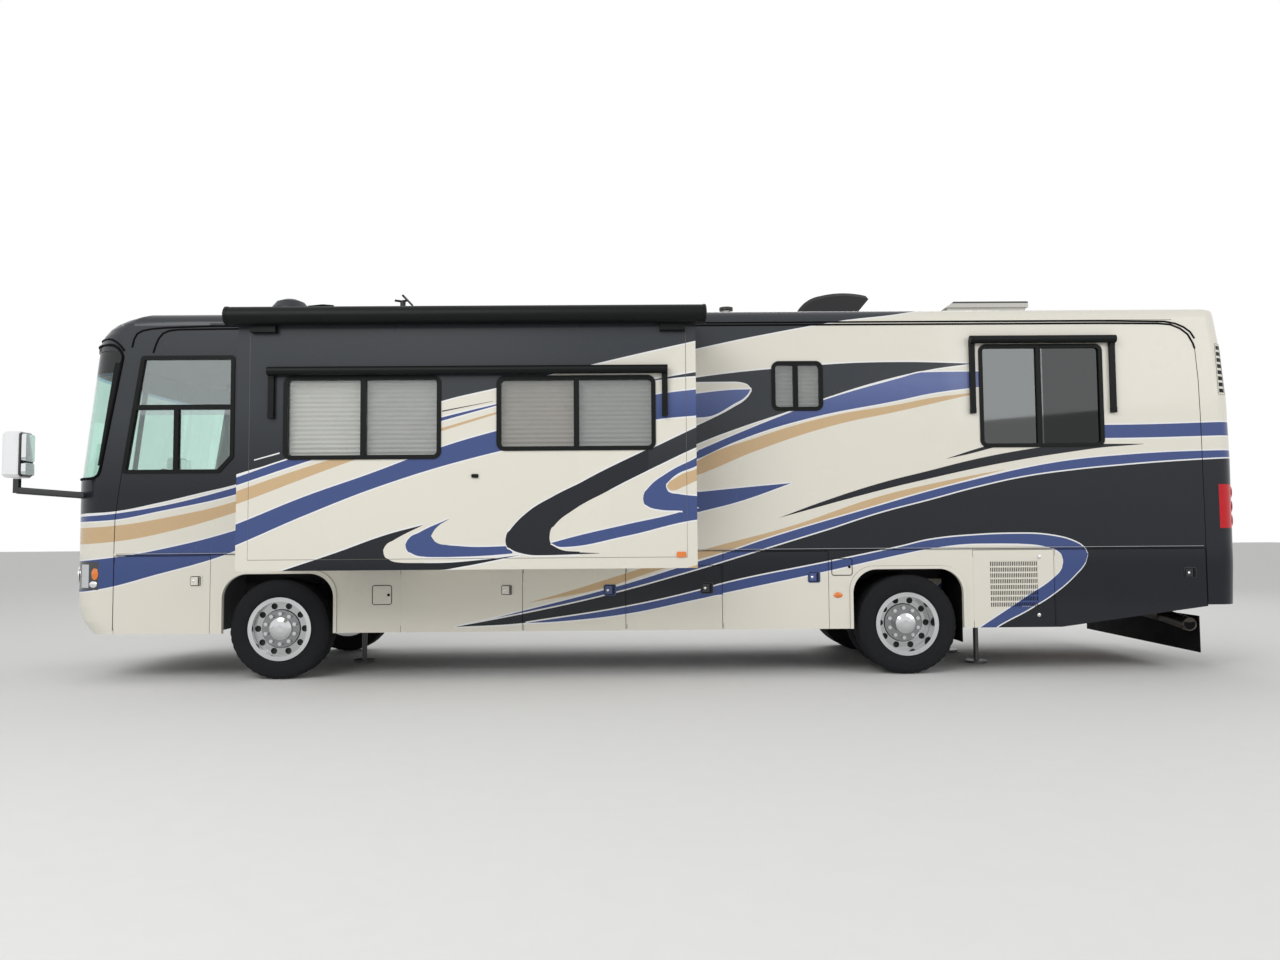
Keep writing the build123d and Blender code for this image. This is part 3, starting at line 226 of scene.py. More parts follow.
def plain(name, colour, roughness, metallic=0.0, coat=0.0, vary=0.15, scale=6.0, bump=0.0, bump_scale=120.0,
          specular=0.5):
    """Material with cloudy colour and roughness variation and an optional fine grain."""
    made, tree, shader = new_material(name)
    adjust(shader, {"Metallic": metallic, "Coat Weight": coat, "Coat Roughness": 0.05,
                    "Specular IOR Level": specular})
    cloud = noise(tree, scale)
    tone = mix_colour(tree, cloud, scaled(colour, 1 - vary), scaled(colour, 1 + vary))
    tree.links.new(tone, shader.inputs["Base Color"])
    add_roughness(tree, shader, cloud, roughness)
    if bump:
        add_bump(tree, shader, noise(tree, bump_scale, 4.0), bump)
    return made


def zone_mask(tree, low, high):
    """1 inside a box of the coach, given by its low and high corner; y counts without its sign."""
    x, y, z = axes(tree, object_place(tree))
    spans = zip((x, maths(tree, "ABSOLUTE", y), z), low, high)
    return product(tree, *(maths(tree, "COMPARE", axis, (a + b) / 2, (b - a) / 2) for axis, a, b in spans))


def by_place(name, base, zones, roughness, metallic=0.0, coat=0.0, bump=0.0):
    """Plain material with other colours inside zones, each (colour, low corner, high corner)."""
    made, tree, shader = new_material(name)
    cloud = noise(tree, 5.0)
    colour = mix_colour(tree, cloud, scaled(base, 0.88), base)
    for shade, low, high in zones:
        colour = mix_colour(tree, zone_mask(tree, low, high), colour, shade)
    tree.links.new(colour, shader.inputs["Base Color"])
    add_roughness(tree, shader, cloud, roughness)
    adjust(shader, {"Metallic": metallic, "Coat Weight": coat})
    if bump:
        add_bump(tree, shader, noise(tree, 150.0, 3.0), bump)
    return made


def glass(name, tint, cover, zones):
    """Tinted sheet glass: lets light through in its tint, and mirrors more towards grazing angles.

    Each zone has its tint, its low and high corner and the mirrored share that it has more than the rest.
    """
    made, tree, shader = new_material(name)
    clear = tree.nodes.new("ShaderNodeBsdfTransparent")
    colour = mix_colour(tree, noise(tree, 1.5), scaled(tint, 0.97), tint)
    for shade, low, high, more in zones:
        mask = zone_mask(tree, low, high)
        colour = mix_colour(tree, mask, colour, shade)
        cover = maths(tree, "ADD", cover, maths(tree, "MULTIPLY", mask, more))
    tree.links.new(colour, clear.inputs["Color"])
    edge = tree.nodes.new("ShaderNodeFresnel")
    from_inside = tree.nodes.new("ShaderNodeNewGeometry").outputs["Backfacing"]
    tree.links.new(ranged(tree, from_inside, target=(GLASS_IOR, 1 / GLASS_IOR)), edge.inputs["IOR"])
    adjust(shader, {"Base Color": (0.78, 0.82, 0.82, 1), "Metallic": 1.0})
    tree.links.new(ranged(tree, noise(tree, 3.0), target=(0.02, 0.05)), shader.inputs["Roughness"])
    share = tree.nodes.new("ShaderNodeMixShader")
    parts = (maths(tree, "ADD", edge.outputs[0], cover), clear.outputs[0], shader.outputs[0])
    for part, socket in zip(parts, share.inputs):
        tree.links.new(part, socket)
    tree.links.new(share.outputs[0], tree.nodes["Material Output"].inputs["Surface"])
    return made


def fabric(name, colour, weave=900.0):
    """Woven cloth with a fine cross weave."""
    made, tree, shader = new_material(name)
    tone = mix_colour(tree, noise(tree, 4.0), scaled(colour, 0.85), colour)
    tree.links.new(tone, shader.inputs["Base Color"])
    adjust(shader, {"Roughness": 0.85, "Sheen Weight": 0.2})
    threads = []
    for direction in ("X", "Z"):
        wave = node(tree, "ShaderNodeTexWave", Scale=weave)
        wave.bands_direction = direction
        tree.links.new(object_place(tree), wave.inputs["Vector"])
        threads.append(wave.outputs["Fac"])
    add_bump(tree, shader, product(tree, *threads), THREAD_HEIGHT)
    return made


# Mesh helpers. Each adds to a bmesh; finish_piece() turns it into a piece that rides on a body.

# Turns that lay the z axis along another one
TURNS = {"X": Matrix.Rotation(math.pi / 2, 3, "Y"), "Y": Matrix.Rotation(-math.pi / 2, 3, "X")}
LENS_SIDES = 20
BEVEL_ANGLE = math.radians(50)
# Places ahead of, behind and beside the coach, from where rays look for its surfaces
AHEAD_X = -7
BEHIND_X = 7
BESIDE_Y = 3


def around(count):
    """Angles of so many even steps round a circle."""
    return [2 * math.pi * k / count for k in range(count)]


def bridge(bm, rows, closed=False):
    """Faces from each row of vertices to the next. Closed joins the end of each row to its start."""
    for near, far in zip(rows, rows[1:]):
        for k in range(len(near) if closed else len(near) - 1):
            after = (k + 1) % len(near)
            bm.faces.new((near[k], near[after], far[after], far[k]))


def slab(bm, x, y, z):
    """Box between the given low and high values."""
    for vert in bmesh.ops.create_cube(bm, size=1.0)["verts"]:
        vert.co = [low + (value + 0.5) * (high - low) for (low, high), value in zip((x, y, z), vert.co)]


def across(side, near, far):
    """Low and high y of something that lies from `near` to `far` out from the middle of the coach."""
    return sorted((side * near, side * far))


def bar(bm, side, x, z, low, high):
    """Box on a side wall, from `low` to `high` off the wall's face."""
    slab(bm, x, across(side, HALF_WIDTH + low, HALF_WIDTH + high), z)


def lathe(bm, profile, place, axis="Y", segments=48, notch=None):
    """Turn points (along the axis, radius) about the axis through `place`.

    The axis is "X", "Y" or a direction, and notch(i, along, radius) changes a radius.
    """
    turn = TURNS[axis] if isinstance(axis, str) else axis.to_track_quat("Z", "Y").to_matrix()
    rings = []
    for i, angle in enumerate(around(segments)):
        ring = []
        for along, radius in profile:
            reach = notch(i, along, radius) if notch else radius
            spot = Vector((reach * math.cos(angle), reach * math.sin(angle), along))
            ring.append(bm.verts.new(Vector(place) + turn @ spot))
        rings.append(ring)
    bridge(bm, rings + rings[:1])
    for k in (0, -1):
        if profile[k][1] < 1e-4:
            bmesh.ops.remove_doubles(bm, verts=[ring[k] for ring in rings], dist=1e-3)


def tube(bm, points, radius, segments=10, closed=False, flat=1.0):
    """Round tube along the points; flat scales it across its second direction."""
    points = [Vector(p) for p in points]
    count = len(points)
    rings = []
    side = None
    for i, point in enumerate(points):
        before = points[i - 1] if closed or i else point
        after = points[(i + 1) % count] if closed or i < count - 1 else point
        along = (after - before).normalized()
        if side is None:
            side = along.orthogonal().normalized()
        side = (side - along * side.dot(along)).normalized()
        other = along.cross(side)
        rings.append([bm.verts.new(point + radius * (math.cos(a) * side + flat * math.sin(a) * other))
                      for a in around(segments)])
    bridge(bm, rings + rings[:1] if closed else rings, closed=True)
    if not closed:
        bm.faces.new(list(reversed(rings[0])))
        bm.faces.new(rings[-1])


def outline(centre, size, corner, steps=5):
    """Points of a rounded rectangle in the plane of the two given coordinates."""
    (cx, cz), (w, h) = centre, size
    points = []
    for turn, (sx, sz) in enumerate(((1, 1), (-1, 1), (-1, -1), (1, -1))):
        for k in range(steps + 1):
            angle = math.pi / 2 * (turn + k / steps)
            points.append((cx + sx * (w / 2 - corner) + corner * math.cos(angle),
                           cz + sz * (h / 2 - corner) + corner * math.sin(angle)))
    return points


def on_side(side, points, face=HALF_WIDTH):
    """Points (x, z) of a side view, laid on a plane that stands `face` out from the middle of the coach."""
    return [(x, side * face, z) for x, z in points]


def plate(bm, centre, size, corner, side, face, depth):
    """Rounded plate on a side panel, from the face outwards by depth."""
    edge = outline(centre, size, corner)
    low, high = ([bm.verts.new(point) for point in on_side(side, edge, y)] for y in (face, face + depth))
    bm.faces.new(low)
    bm.faces.new(high[::-1])
    bridge(bm, (low, high), closed=True)


def groove(bm, centre, size, corner, side, face, width=0.004):
    """Thin raised line round a rounded rectangle on a side panel."""
    tube(bm, on_side(side, outline(centre, size, corner), face), width, segments=6, closed=True)


def finish_piece(name, bm, material, body, bevel=0.0, angle=35.0):
    """Mesh object from a bmesh, smooth but for its sharp edges, riding on a body."""
    bmesh.ops.recalc_face_normals(bm, faces=bm.faces)
    mesh = bpy.data.meshes.new(name)
    bm.to_mesh(mesh)
    bm.free()
    mesh.polygons.foreach_set("use_smooth", [True] * len(mesh.polygons))
    mesh.set_sharp_from_angle(angle=math.radians(angle))
    mesh.materials.append(material)
    made = bpy.data.objects.new(name, mesh)
    bpy.context.collection.objects.link(made)
    if bevel:
        edge = made.modifiers.new("edge", "BEVEL")
        edge.width = bevel
        edge.segments = 2
        edge.limit_method = "ANGLE"
        edge.angle_limit = BEVEL_ANGLE
    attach(made, body)
    return made


def surface(name):
    """Search tree over a CAD node's faces."""
    mesh = NODES[name].data
    return BVHTree.FromPolygons([v.co for v in mesh.vertices], [p.vertices for p in mesh.polygons])


def hit(tree, origin, direction):
    """First point of the surface along a ray, and its outward normal."""
    direction = Vector(direction).normalized()
    point, normal, _, _ = tree.ray_cast(Vector(origin), direction)
    if point is None:
        raise ValueError(f"no surface from {tuple(origin)} along {tuple(direction)}")
    return point, normal if normal.dot(direction) < 0 else -normal


def from_front(tree, y, z):
    return hit(tree, (AHEAD_X, y, z), (1, 0, 0))


def from_rear(tree, y, z):
    return hit(tree, (BEHIND_X, y, z), (-1, 0, 0))


def from_side(tree, side, x, z):
    return hit(tree, (x, side * BESIDE_Y, z), (0, -side, 0))


def off(found, distance):
    """Point that stands off a surface where a ray has met it."""
    point, normal = found
    return point + normal * distance


def lens(bm, found, size, proud):
    """Domed oval lens on a surface where a ray has met it; size is its width and height."""
    point, normal = found
    wide = Vector((0, 0, 1)).cross(normal).normalized()
    tall = normal.cross(wide)
    rings = []
    for lift, share in ((-0.004, 1.0), (0.4 * proud, 1.0), (0.8 * proud, 0.8), (proud, 0.4)):
        rings.append([bm.verts.new(point + normal * lift + wide * share * size[0] / 2 * math.cos(a)
                                   + tall * share * size[1] / 2 * math.sin(a)) for a in around(LENS_SIDES)])
    bridge(bm, rings, closed=True)
    bm.faces.new(rings[-1])
    bm.faces.new(rings[0][::-1])


# Paint. Bands are laid over each other in order. Each lies between two curves z(x), front to rear:
# colour, white edge, points of the upper curve, points of the lower curve

FLOOR_Z = 0.2
SKY_Z = 4.0
PINSTRIPE = 0.013
UPPER_BLACK = ((-5.7, 1.56), (-5.38, 1.583), (-5.07, 1.60), (-4.65, 1.679), (-4.25, 1.771), (-3.9, 1.854),
               (-3.55, 1.975), (-3.15, 2.094), (-1.79, 2.598), (-1.32, 2.709), (-0.47, 2.914), (0.45, 3.12),
               (1.06, 3.247), (1.94, 3.398), (2.46, 3.463), (3.1, 3.62))
BLACK_TOP = ((-1.83, 0.486), (-1.19, 0.603), (-0.42, 0.766), (0.54, 1.023), (0.73, 1.079), (1.72, 1.374),
             (2.22, 1.531), (2.69, 1.65), (3.16, 1.772), (3.62, 1.869), (4.09, 1.931), (4.56, 1.974),
             (5.03, 2.008), (5.8, 2.045))
BANDS = (
    (BLACK_SKY_REFLECTION, True, ((-5.7, SKY_Z), (3.1, SKY_Z)), UPPER_BLACK),
    (BLUE, True,
     ((-5.7, 1.55), (-5.07, 1.578), (-3.9, 1.826), (-3.55, 1.949), (-3.12, 2.095), (-1.79, 2.455),
      (-1.0, 2.64)),
     ((-5.7, 1.50), (-5.07, 1.521), (-4.65, 1.597), (-3.9, 1.759), (-3.55, 1.88), (-2.92, 2.09),
      (-1.79, 2.425), (-1.0, 2.64))),
    (TAN, False,
     ((-5.7, 1.44), (-5.07, 1.464), (-4.64, 1.527), (-3.9, 1.693), (-3.55, 1.828), (-2.79, 2.083),
      (-1.79, 2.363), (-1.33, 2.495), (-0.9, 2.61)),
     ((-5.7, 1.28), (-5.06, 1.315), (-4.64, 1.385), (-3.9, 1.588), (-3.55, 1.716), (-2.57, 2.081),
      (-1.79, 2.336), (-1.33, 2.477), (-0.9, 2.61))),
    (BLUE, True,
     ((-5.7, 1.11), (-5.06, 1.165), (-4.64, 1.234), (-3.9, 1.417), (-3.55, 1.544), (-2.98, 1.773),
      (-2.42, 1.967), (-1.79, 2.197), (-1.32, 2.333), (-0.6, 2.50)),
     ((-5.7, 0.82), (-5.19, 0.867), (-4.63, 1.007), (-4.11, 1.148), (-3.89, 1.228), (-3.54, 1.368),
      (-2.98, 1.609), (-2.27, 1.88), (-1.46, 2.117), (-0.6, 2.30))),
    # Dark band of the rear half and the pocket in it
    (BLACK_SKY_REFLECTION, True,
     ((-0.6, 2.66), (0.07, 2.779), (0.42, 2.838), (0.81, 2.889), (1.2, 2.926), (1.71, 2.965), (2.1, 2.983),
      (2.44, 2.986), (3.15, 2.967)),
     ((-0.6, 1.66), (-0.34, 1.814), (0.09, 2.028), (0.48, 2.207), (0.89, 2.361), (1.34, 2.509), (1.7, 2.636),
      (2.25, 2.803), (2.73, 2.91), (3.15, 2.967))),
    (CREAM, True,
     ((-0.6, 2.64), (0.07, 2.755), (0.42, 2.79), (0.81, 2.792), (0.96, 2.772), (1.01, 2.725)),
     ((-0.6, 1.87), (-0.41, 1.975), (-0.04, 2.152), (0.41, 2.365), (0.57, 2.437), (0.83, 2.57),
      (0.97, 2.666), (1.01, 2.725))),
    (BLUE, True,
     ((-0.6, 2.50), (0.07, 2.643), (0.48, 2.692), (0.8, 2.725), (1.0, 2.73)),
     ((-0.6, 2.30), (0.07, 2.425), (0.42, 2.457), (0.62, 2.475), (0.83, 2.585), (0.97, 2.68), (1.0, 2.73))),
    # Blue tail that runs under the black swoosh across the slide-out, and the swoosh
    (BLUE, True,
     ((-1.73, 1.347), (-1.46, 1.331), (-1.18, 1.338)),
     ((-1.73, 1.246), (-1.46, 1.253), (-1.18, 1.272))),
    (BLACK, True,
     ((-1.24, 1.381), (-1.235, 1.42), (-1.2, 1.475), (-1.06, 1.62), (-0.83, 1.762), (-0.6, 1.875)),
     ((-1.24, 1.381), (-1.235, 1.35), (-1.2, 1.315), (-1.09, 1.271), (-0.94, 1.255), (-0.6, 1.262))),
    (BLACK, True,
     ((-0.6, 1.875), (-0.41, 1.975), (0.0, 2.17)),
     ((-0.6, 1.66), (-0.34, 1.814), (0.0, 1.985))),
    (CREAM, False,
     ((-0.86, 1.403), (-0.855, 1.45), (-0.82, 1.507), (-0.66, 1.639), (-0.34, 1.814)),
     ((-0.86, 1.403), (-0.855, 1.37), (-0.82, 1.334), (-0.72, 1.291), (-0.34, 1.279))),
    (BLACK, False, ((-0.62, 1.279), (-0.43, 1.270)), ((-0.62, 1.262), (-0.43, 1.267))),
    (BLUE, True,
     ((-0.85, 1.36), (-0.6, 1.425), (-0.2, 1.514), (0.3, 1.628), (0.49, 1.70)),
     ((-0.85, 1.36), (-0.76, 1.325), (-0.2, 1.416), (0.42, 1.553), (0.49, 1.556))),
    (BLUE, True,
     ((-0.05, 1.734), (-0.045, 1.77), (-0.02, 1.812), (0.16, 1.958), (0.43, 2.099), (0.5, 2.145)),
     ((-0.05, 1.734), (-0.045, 1.705), (-0.02, 1.678), (0.09, 1.641), (0.3, 1.628), (0.5, 1.60))),
    (CREAM, True,
     ((0.15, 1.849), (0.23, 1.923), (0.43, 2.013), (0.5, 2.063)),
     ((0.15, 1.849), (0.17, 1.81), (0.26, 1.788), (0.5, 1.762))),
    (BLUE, False, ((0.29, 1.66), (0.44, 1.71)), ((0.29, 1.615), (0.44, 1.59))),
    (BLUE, True,
     ((0.49, 2.145), (0.89, 2.313), (1.37, 2.502), (1.7, 2.622), (2.44, 2.831), (2.65, 2.884), (3.2, 2.89)),
     ((0.49, 2.063), (0.89, 2.242), (1.53, 2.44), (2.44, 2.618), (2.73, 2.678), (3.2, 2.74))),
    (TAN, False,
     ((0.16, 1.85), (0.175, 1.878), (0.206, 1.898), (0.298, 1.951), (0.43, 2.0), (0.48, 2.043),
      (1.05, 2.264), (1.77, 2.467), (2.44, 2.579), (2.73, 2.635), (3.11, 2.681)),
     ((0.16, 1.84), (0.175, 1.815), (0.206, 1.806), (0.298, 1.837), (0.43, 1.895), (0.48, 1.909),
      (1.04, 2.135), (1.77, 2.371), (2.43, 2.511), (3.11, 2.662))),
    (BLUE, True, ((0.49, 1.747), (0.9, 1.785), (1.38, 1.826)), ((0.49, 1.556), (0.9, 1.66), (1.38, 1.826))),
    # Black streaks and the lower bands of the rear
    (BLACK, False,
     ((1.25, 1.493), (1.67, 1.645), (2.23, 1.82), (2.69, 1.933), (3.16, 2.046), (3.63, 2.132), (3.87, 2.163),
      (4.35, 2.182), (4.77, 2.180)),
     ((1.25, 1.493), (2.23, 1.751), (2.69, 1.857), (3.16, 1.958), (3.63, 2.043), (4.1, 2.112), (4.4, 2.150),
      (4.6, 2.164), (4.77, 2.177))),
    (BLACK, False, ((2.86, 2.046), (3.1, 2.124), (3.4, 2.21)), ((2.86, 2.046), (3.1, 2.096), (3.4, 2.175))),
    (TAN, False,
     ((-1.14, 0.706), (-0.68, 0.835), (-0.2, 0.982), (0.59, 1.213), (1.35, 1.41), (2.22, 1.693),
      (2.92, 1.85), (3.16, 1.895), (3.44, 1.944)),
     ((-1.14, 0.706), (-0.42, 0.842), (0.03, 0.985), (0.87, 1.205), (1.51, 1.367), (2.22, 1.62),
      (2.92, 1.81), (3.44, 1.944))),
    (BLUE, True,
     ((-1.83, 0.486), (-1.57, 0.54), (-1.19, 0.631), (-0.21, 0.878), (0.22, 1.007), (0.72, 1.159),
      (1.19, 1.313), (2.22, 1.607), (2.69, 1.738), (3.16, 1.853), (3.63, 1.957), (4.09, 2.031),
      (4.56, 2.074), (5.03, 2.101), (5.8, 2.118)),
     BLACK_TOP),
    (BLACK, True, BLACK_TOP[:6],
     ((-1.83, 0.486), (-1.19, 0.518), (-0.21, 0.661), (0.51, 0.816), (0.72, 0.86), (1.72, 1.05))),
    (BLACK, True, BLACK_TOP[5:], ((1.72, FLOOR_Z), (5.8, FLOOR_Z))),
    (BLUE, True,
     ((-1.16, 0.518), (-0.21, 0.661), (0.51, 0.816), (0.71, 0.871), (1.72, 1.071), (2.4, 1.208),
      (2.69, 1.273), (3.17, 1.317), (3.54, 1.326), (3.88, 1.302), (4.08, 1.245), (4.17, 1.185),
      (4.2, 1.128)),
     ((-1.16, 0.518), (-0.84, 0.531), (-0.2, 0.598), (0.51, 0.737), (0.71, 0.771), (1.72, FLOOR_Z),
      (3.2, 0.35), (3.28, 0.425), (3.62, 0.611), (3.88, 0.77), (4.09, 0.95), (4.18, 1.06), (4.2, 1.128))),
    (CREAM, True,
     ((0.71, 0.771), (1.72, 0.976), (2.4, 1.123), (2.69, 1.178), (3.17, 1.222), (3.53, 1.219), (3.8, 1.188),
      (3.92, 1.14), (3.955, 1.095), (3.96, 1.063)),
     ((0.71, FLOOR_Z), (3.0, 0.35), (3.14, 0.445), (3.62, 0.753), (3.87, 0.922), (3.945, 1.005),
      (3.96, 1.063))),
    (WHITE, False, ((-3.41, 2.099), (-3.19, 2.160)), ((-3.41, 2.089), (-3.19, 2.148))),
    (BLACK, False, ((-1.789, 2.514), (-1.351, 2.594)), ((-1.789, 2.503), (-1.351, 2.591))),
    # Front half of the slide-out, low
    (BLACK, True,
     ((-3.16, 1.138), (-2.7, 1.289), (-2.27, 1.44), (-1.95, 1.524)),
     ((-3.16, 1.137), (-1.95, 1.137))),
    (BLACK, True,
     ((-1.95, 1.197), (-1.84, 1.196), (-1.46, 1.219), (-1.11, 1.259)),
     ((-1.95, 1.137), (-1.81, 1.137), (-1.63, 1.16), (-1.11, 1.259))),
    (CREAM, False,
     ((-2.29, 1.311), (-2.275, 1.342), (-2.2, 1.395), (-1.94, 1.527)),
     ((-2.29, 1.311), (-2.285, 1.275), (-2.25, 1.235), (-2.13, 1.200), (-1.94, 1.197))),
    (BLUE, True,
     ((-2.1, 1.357), (-2.085, 1.39), (-1.98, 1.46), (-1.73, 1.574)),
     ((-2.1, 1.357), (-2.095, 1.325), (-2.05, 1.282), (-1.91, 1.248), (-1.73, 1.246))),
    (CREAM, False,
     ((-1.88, 1.428), (-1.85, 1.48), (-1.72, 1.577)),
     ((-1.88, 1.428), (-1.84, 1.376), (-1.72, 1.346))),
    # Stripe behind the bedroom window
    (BLUE, True, ((3.9, 2.40), (4.41, 2.365), (5.8, 2.392)), ((3.9, 2.27), (4.41, 2.238), (5.8, 2.262))),
)


# Black bands turn grey higher up, a painted reflection of the sky; blue bands get lighter higher up
# tone of the band, its colour low down, its colour high up, the heights between which it changes
SOFT_BLUE = (0.125, 0.165, 0.36)
TONES_BY_HEIGHT = ((BLACK_SKY_REFLECTION, BLACK, BLACK_SKY_REFLECTION, (1.75, 2.50)), (BLUE, BLUE, SOFT_BLUE, (2.38, 2.80)))

# Lining: boxes of the coach and of the slide-out, lowest ceiling, lower edge of the end walls' lining
LINING = (0.62, 0.60, 0.54)
COACH_LINING = ((-5.04, -1, 0.46), (5.33, 1.243, 3.40))
SLIDE_LINING = ((-3.43, -1, 1.19), (0.29, 2.083, 3.06))
CEILING_Z = 3.3
END_LINING_Z = 1.20


def curve_value(tree, along, points):
    """Height over SKY_Z of a smooth curve through the points, at the share `along` of its run in x."""
    made = tree.nodes.new("ShaderNodeFloatCurve")
    shape = made.mapping.curves[0]
    x0, x1 = points[0][0], points[-1][0]
    spots = [((x - x0) / (x1 - x0), z / SKY_Z) for x, z in points]
    shape.points[0].location = spots[0]
    shape.points[1].location = spots[-1]
    for spot in spots[1:-1]:
        shape.points.new(*spot)
    for point in shape.points:
        point.handle_type = "AUTO_CLAMPED"
    made.mapping.update()
    tree.links.new(along, made.inputs["Value"])
    return made.outputs["Value"]


def inside_mask(tree, x, z):
    """1 on ceilings and on the inner face of the end walls."""
    facing = axes(tree, tree.nodes.new("ShaderNodeTexCoord").outputs["Normal"])
    downward = maths(tree, "LESS_THAN", facing["Z"], -0.6)
    ceiling = product(tree, downward, maths(tree, "GREATER_THAN", z, CEILING_Z))
    inward = maths(tree, "LESS_THAN", maths(tree, "MULTIPLY", x, facing["X"]), -1.0)
    end_wall = product(tree, inward, maths(tree, "GREATER_THAN", z, END_LINING_Z))
    return maths(tree, "MAXIMUM", ceiling, end_wall)


def paint(name, drop, lining):
    """Glossy body paint: cream with the bands laid on by place, and the lining's colour inside.

    `drop` is how far the bands sit below their heights. `lining` is the low and high corner of the inside.
    """
    made, tree, shader = new_material(name)
    x, _, z = axes(tree, object_place(tree))
    height = maths(tree, "DIVIDE", maths(tree, "ADD", z, drop), SKY_Z)
    cloud = noise(tree, 0.8, 5.0)
    colour = mix_colour(tree, cloud, scaled(CREAM, 0.97), CREAM)
    # Black bands turn grey higher up: painted reflection of the sky
    toned_by_height = {tone: mix_colour(tree, ranged(tree, z, heights), low, high)
             for tone, low, high, heights in TONES_BY_HEIGHT}
    for shade, edged, top, bottom in BANDS:
        x0, x1 = top[0][0], top[-1][0]
        along = ranged(tree, x, (x0, x1))
        upper, lower = curve_value(tree, along, top), curve_value(tree, along, bottom)
        on_band = maths(tree, "COMPARE", x, (x0 + x1) / 2, (x1 - x0) / 2)
        coats = ((PINSTRIPE / SKY_Z, WHITE), (0.0, shade)) if edged else ((0.0, shade),)
        for grow, tone in coats:
            under_top = maths(tree, "LESS_THAN", height, maths(tree, "ADD", upper, grow))
            over_bottom = maths(tree, "GREATER_THAN", height, maths(tree, "SUBTRACT", lower, grow))
            mask = product(tree, under_top, over_bottom, on_band)
            colour = mix_colour(tree, mask, colour, toned_by_height.get(tone, tone))
    indoors = maths(tree, "MAXIMUM", inside_mask(tree, x, z), zone_mask(tree, *lining))
    tree.links.new(mix_colour(tree, indoors, colour, LINING), shader.inputs["Base Color"])
    tree.links.new(ranged(tree, cloud, target=(0.22, 0.34)), shader.inputs["Roughness"])
    adjust(shader, {"Coat Weight": 0.35, "Coat Roughness": 0.06, "Specular IOR Level": 0.2})
    add_bump(tree, shader, noise(tree, 1.2, 2.0), 0.002, 0.25)
    return made


def dress(material, *names):
    """Give CAD nodes a material."""
    for name in names:
        for holder in NODES[name].material_slots:
            holder.link = "OBJECT"
            holder.material = material


body_paint = paint("body_paint", 0.0, COACH_LINING)
slide_paint = paint("slide_paint", SLIDE_DROP, SLIDE_LINING)

black_rubber = plain("black_rubber", (0.004, 0.004, 0.005), 0.7, bump=0.0006, specular=0.08)
black_metal = plain("black_metal", (0.005, 0.006, 0.006), 0.45, vary=0.25, specular=0.16)
chrome = plain("chrome", (0.74, 0.75, 0.76), 0.10, metallic=1.0, vary=0.06)
steel = plain("steel", (0.030, 0.030, 0.032), 0.55, metallic=0.3, bump=0.0008, bump_scale=60)
galvanised = plain("galvanised", (0.13, 0.13, 0.135), 0.38, metallic=0.8, scale=14, bump=0.0003)
stainless = plain("exhaust_steel", (0.075, 0.065, 0.055), 0.42, metallic=0.9, vary=0.3, scale=9, bump=0.0004)
iron = plain("cast_iron", (0.045, 0.045, 0.048), 0.65, metallic=0.4, bump=0.0012, bump_scale=90)
engine_paint = plain("engine_paint", (0.22, 0.075, 0.03), 0.5, vary=0.3, bump=0.0015, bump_scale=30)
dash_plastic = plain("dash_plastic", (0.11, 0.10, 0.085), 0.6, bump=0.0006, bump_scale=400)
radiator_black = plain("radiator_black", (0.010, 0.010, 0.011), 0.7, bump=0.002, bump_scale=200)
bay_lining = plain("bay_lining", (0.16, 0.16, 0.17), 0.75, bump=0.0008)
shell_plastic = plain("shell_plastic", (0.010, 0.010, 0.012), 0.40, vary=0.2, bump=0.0004, bump_scale=200,
                      specular=0.35)
tyre_rubber = plain("tyre_rubber", (0.015, 0.0155, 0.018), 0.78, vary=0.3, scale=9.0, bump=0.0005,
                    bump_scale=300, specular=0.15)
vinyl = plain("black_vinyl", (0.006, 0.007, 0.007), 0.5, vary=0.25, scale=3.0, bump=0.0004, bump_scale=500,
              specular=0.2)
shade_cloth = fabric("shade_cloth", (0.72, 0.71, 0.68))
rail_white = plain("rail_white", (0.60, 0.59, 0.56), 0.45)
red_lens = plain("red_lens", (0.56, 0.005, 0.012), 0.14, vary=0.1, scale=40, specular=0.3)
amber = plain("amber_lens", (0.82, 0.20, 0.005), 0.12, coat=1.0, vary=0.08, scale=60)
red_small = plain("red_marker", (0.50, 0.012, 0.010), 0.12, coat=1.0, vary=0.08, scale=60)
reflector = plain("reflector", (0.85, 0.86, 0.87), 0.08, metallic=1.0, vary=0.05, scale=40)
mirror_glass = plain("mirror_glass", (0.80, 0.82, 0.83), 0.03, metallic=1.0, vary=0.02)
# Grey strip on the belt rail's top: painted highlight
belt_highlight = plain("belt_highlight", (0.33, 0.34, 0.36), 0.25, coat=0.3)
trim_line = plain("trim_line", (0.11, 0.105, 0.09), 0.5)
# Dark line round the wheel arches' lips: painted shadow
shadow_line = plain("shadow_line", (0.27, 0.26, 0.23), 0.5)
leather = plain("seat_leather", (0.42, 0.36, 0.28), 0.45, vary=0.12, scale=5.0, bump=0.0012, bump_scale=260)
seat_shell = plain("seat_shell", (0.05, 0.05, 0.05), 0.5)
latch_paint = {colour: plain(name, colour, 0.25, coat=0.4, vary=0.05)
               for name, colour in (("latch_cream", CREAM), ("latch_blue", BLUE), ("latch_black", BLACK))}

